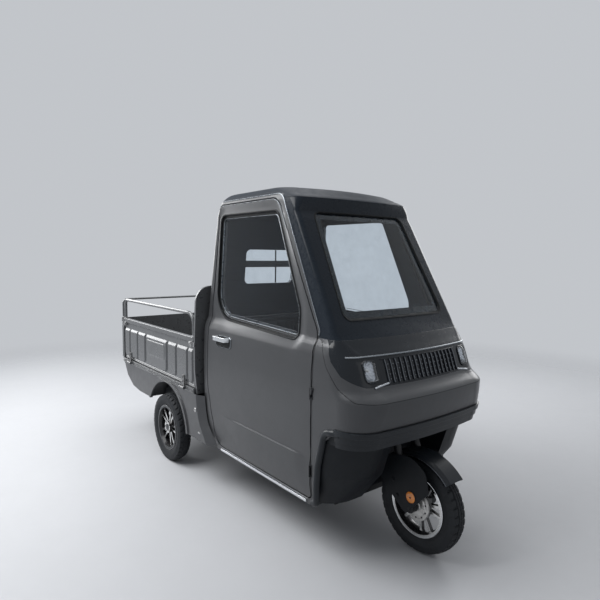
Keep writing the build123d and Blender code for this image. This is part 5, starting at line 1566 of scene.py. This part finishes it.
# Stage: plain pale floor, studio lamps and camera
floor_size = 40.0
fade_from, fade_to = 2.6, 7.0
bm = bmesh.new()
bmesh.ops.create_grid(bm, x_segments=8, y_segments=8, size=floor_size)
mesh = bpy.data.meshes.new("floor")
bm.to_mesh(mesh)
bm.free()
ground = bpy.data.objects.new("floor", mesh)
bpy.context.scene.collection.objects.link(ground)
pale = surface("floor_pale", (0.50, 0.51, 0.53), 0.55, tone=0.01, strength=0.02, sheen_level=0.2)
make, link = node_maker(pale)
reach = make("ShaderNodeVectorMath")
reach.operation = "LENGTH"
link(make("ShaderNodeTexCoord").outputs["Object"], reach.inputs[0])
fade = make("ShaderNodeMapRange", Value=reach.outputs["Value"], From_Min=fade_from, From_Max=fade_to)
fade.interpolation_type = "SMOOTHSTEP"
soft_edge = make("ShaderNodeMixShader", Fac=fade.outputs["Result"])
link(pale.node_tree.nodes["Principled BSDF"].outputs["BSDF"], soft_edge.inputs[1])
link(make("ShaderNodeBsdfTransparent").outputs["BSDF"], soft_edge.inputs[2])
link(soft_edge.outputs["Shader"], pale.node_tree.nodes["Material Output"].inputs["Surface"])
mesh.materials.append(pale)

scene = bpy.context.scene
scene.view_settings.view_transform = "Standard"
world = bpy.data.worlds.new("studio")
scene.world = world
world.use_nodes = True
tree = world.node_tree
tree.nodes["Background"].inputs["Color"].default_value = (0.86, 0.90, 0.96, 1)
tree.nodes["Background"].inputs["Strength"].default_value = 0.30
seen = tree.nodes.new("ShaderNodeBackground")
seen.inputs["Color"].default_value = (0.54, 0.56, 0.59, 1)
path = tree.nodes.new("ShaderNodeLightPath")
mix = tree.nodes.new("ShaderNodeMixShader")
shown = path.outputs["Is Camera Ray"]
for kind in ("Is Glossy Ray", "Is Transmission Ray"):
    either = tree.nodes.new("ShaderNodeMath")
    either.operation = "MAXIMUM"
    tree.links.new(shown, either.inputs[0])
    tree.links.new(path.outputs[kind], either.inputs[1])
    shown = either.outputs["Value"]
tree.links.new(shown, mix.inputs["Fac"])
tree.links.new(tree.nodes["Background"].outputs["Background"], mix.inputs[1])
tree.links.new(seen.outputs["Background"], mix.inputs[2])
tree.links.new(mix.outputs["Shader"], tree.nodes["World Output"].inputs["Surface"])

# columns: name, place, aim, width, height, power
lamps = [
    ("key", (-1.2, -2.9, 4.0), (0.0, 0.0, 0.8), 3.8, 2.6, 190),
    ("top", (-0.6, 0.0, 5.2), (-0.3, 0.0, 0.5), 6.0, 4.0, 130),
    ("front", (5.0, 0.6, 2.6), (1.0, 0.0, 0.8), 2.4, 2.4, 8),
    ("left", (-0.5, 4.8, 3.0), (0.0, 0.0, 0.9), 3.0, 2.4, 80),
    ("rear", (-5.2, -1.4, 2.6), (-0.8, 0.0, 0.8), 3.2, 2.4, 110),
]
for name, place, aim, width, height, power in lamps:
    data = bpy.data.lights.new(name, "AREA")
    data.shape = "RECTANGLE"
    data.size, data.size_y = width, height
    data.energy = power
    lamp = bpy.data.objects.new(name, data)
    scene.collection.objects.link(lamp)
    lamp.location = place
    lamp.rotation_mode = "QUATERNION"
    lamp.rotation_quaternion = (Vector(aim) - Vector(place)).to_track_quat("-Z", "Y")

data = bpy.data.cameras.new("camera")
data.lens = camera_lens
data.sensor_width = 36.0
data.clip_start = 0.05
data.clip_end = 200.0
camera = bpy.data.objects.new("camera", data)
scene.collection.objects.link(camera)
turn = Matrix((camera_right, camera_up, tuple(-c for c in camera_look))).transposed()
camera.matrix_world = Matrix.Translation(camera_place) @ turn.to_4x4()
scene.camera = camera

# CAD nodes that keep their shape
for node, material, bevel in [
    ("door_handle_right", bright, 0.003),
    ("door_handle_left", bright, 0.003),
    ("sill_trims", bright, 0.002),
    ("footwell_tub", black_plastic, 0.003),
    ("chassis_frame", frame_paint, 0.002),
    ("cab_floor", floor_rubber, 0.002),
    ("battery_case", dash_plastic, 0.006),
    ("dashboard", dash_plastic, 0.004),
    ("bed_floor", bed_paint, 0.0015),
    ("headboard", bed_paint, 0.003),
    ("skirt_right", paint, 0.003),
    ("skirt_left", paint, 0.003),
    ("lamp_bar", black_plastic, 0.002),
    ("rear_axle", frame_paint, 0.003),
    ("leaf_springs", spring_steel, 0.002),
    ("front_rim", wheel_metal, 0.0012),
    ("rear_rim_right", wheel_metal, 0.0012),
    ("rear_rim_left", wheel_metal, 0.0012),
    ("fork", frame_paint, 0.002),
    ("handlebar", black_plastic, 0.001),
    ("instrument_pod", dash_plastic, 0.003),
    ("front_fender", bumper_black, 0.0015),
    ("fork_covers", black_plastic, 0.0015),
]:
    dress(node, material, bevel)
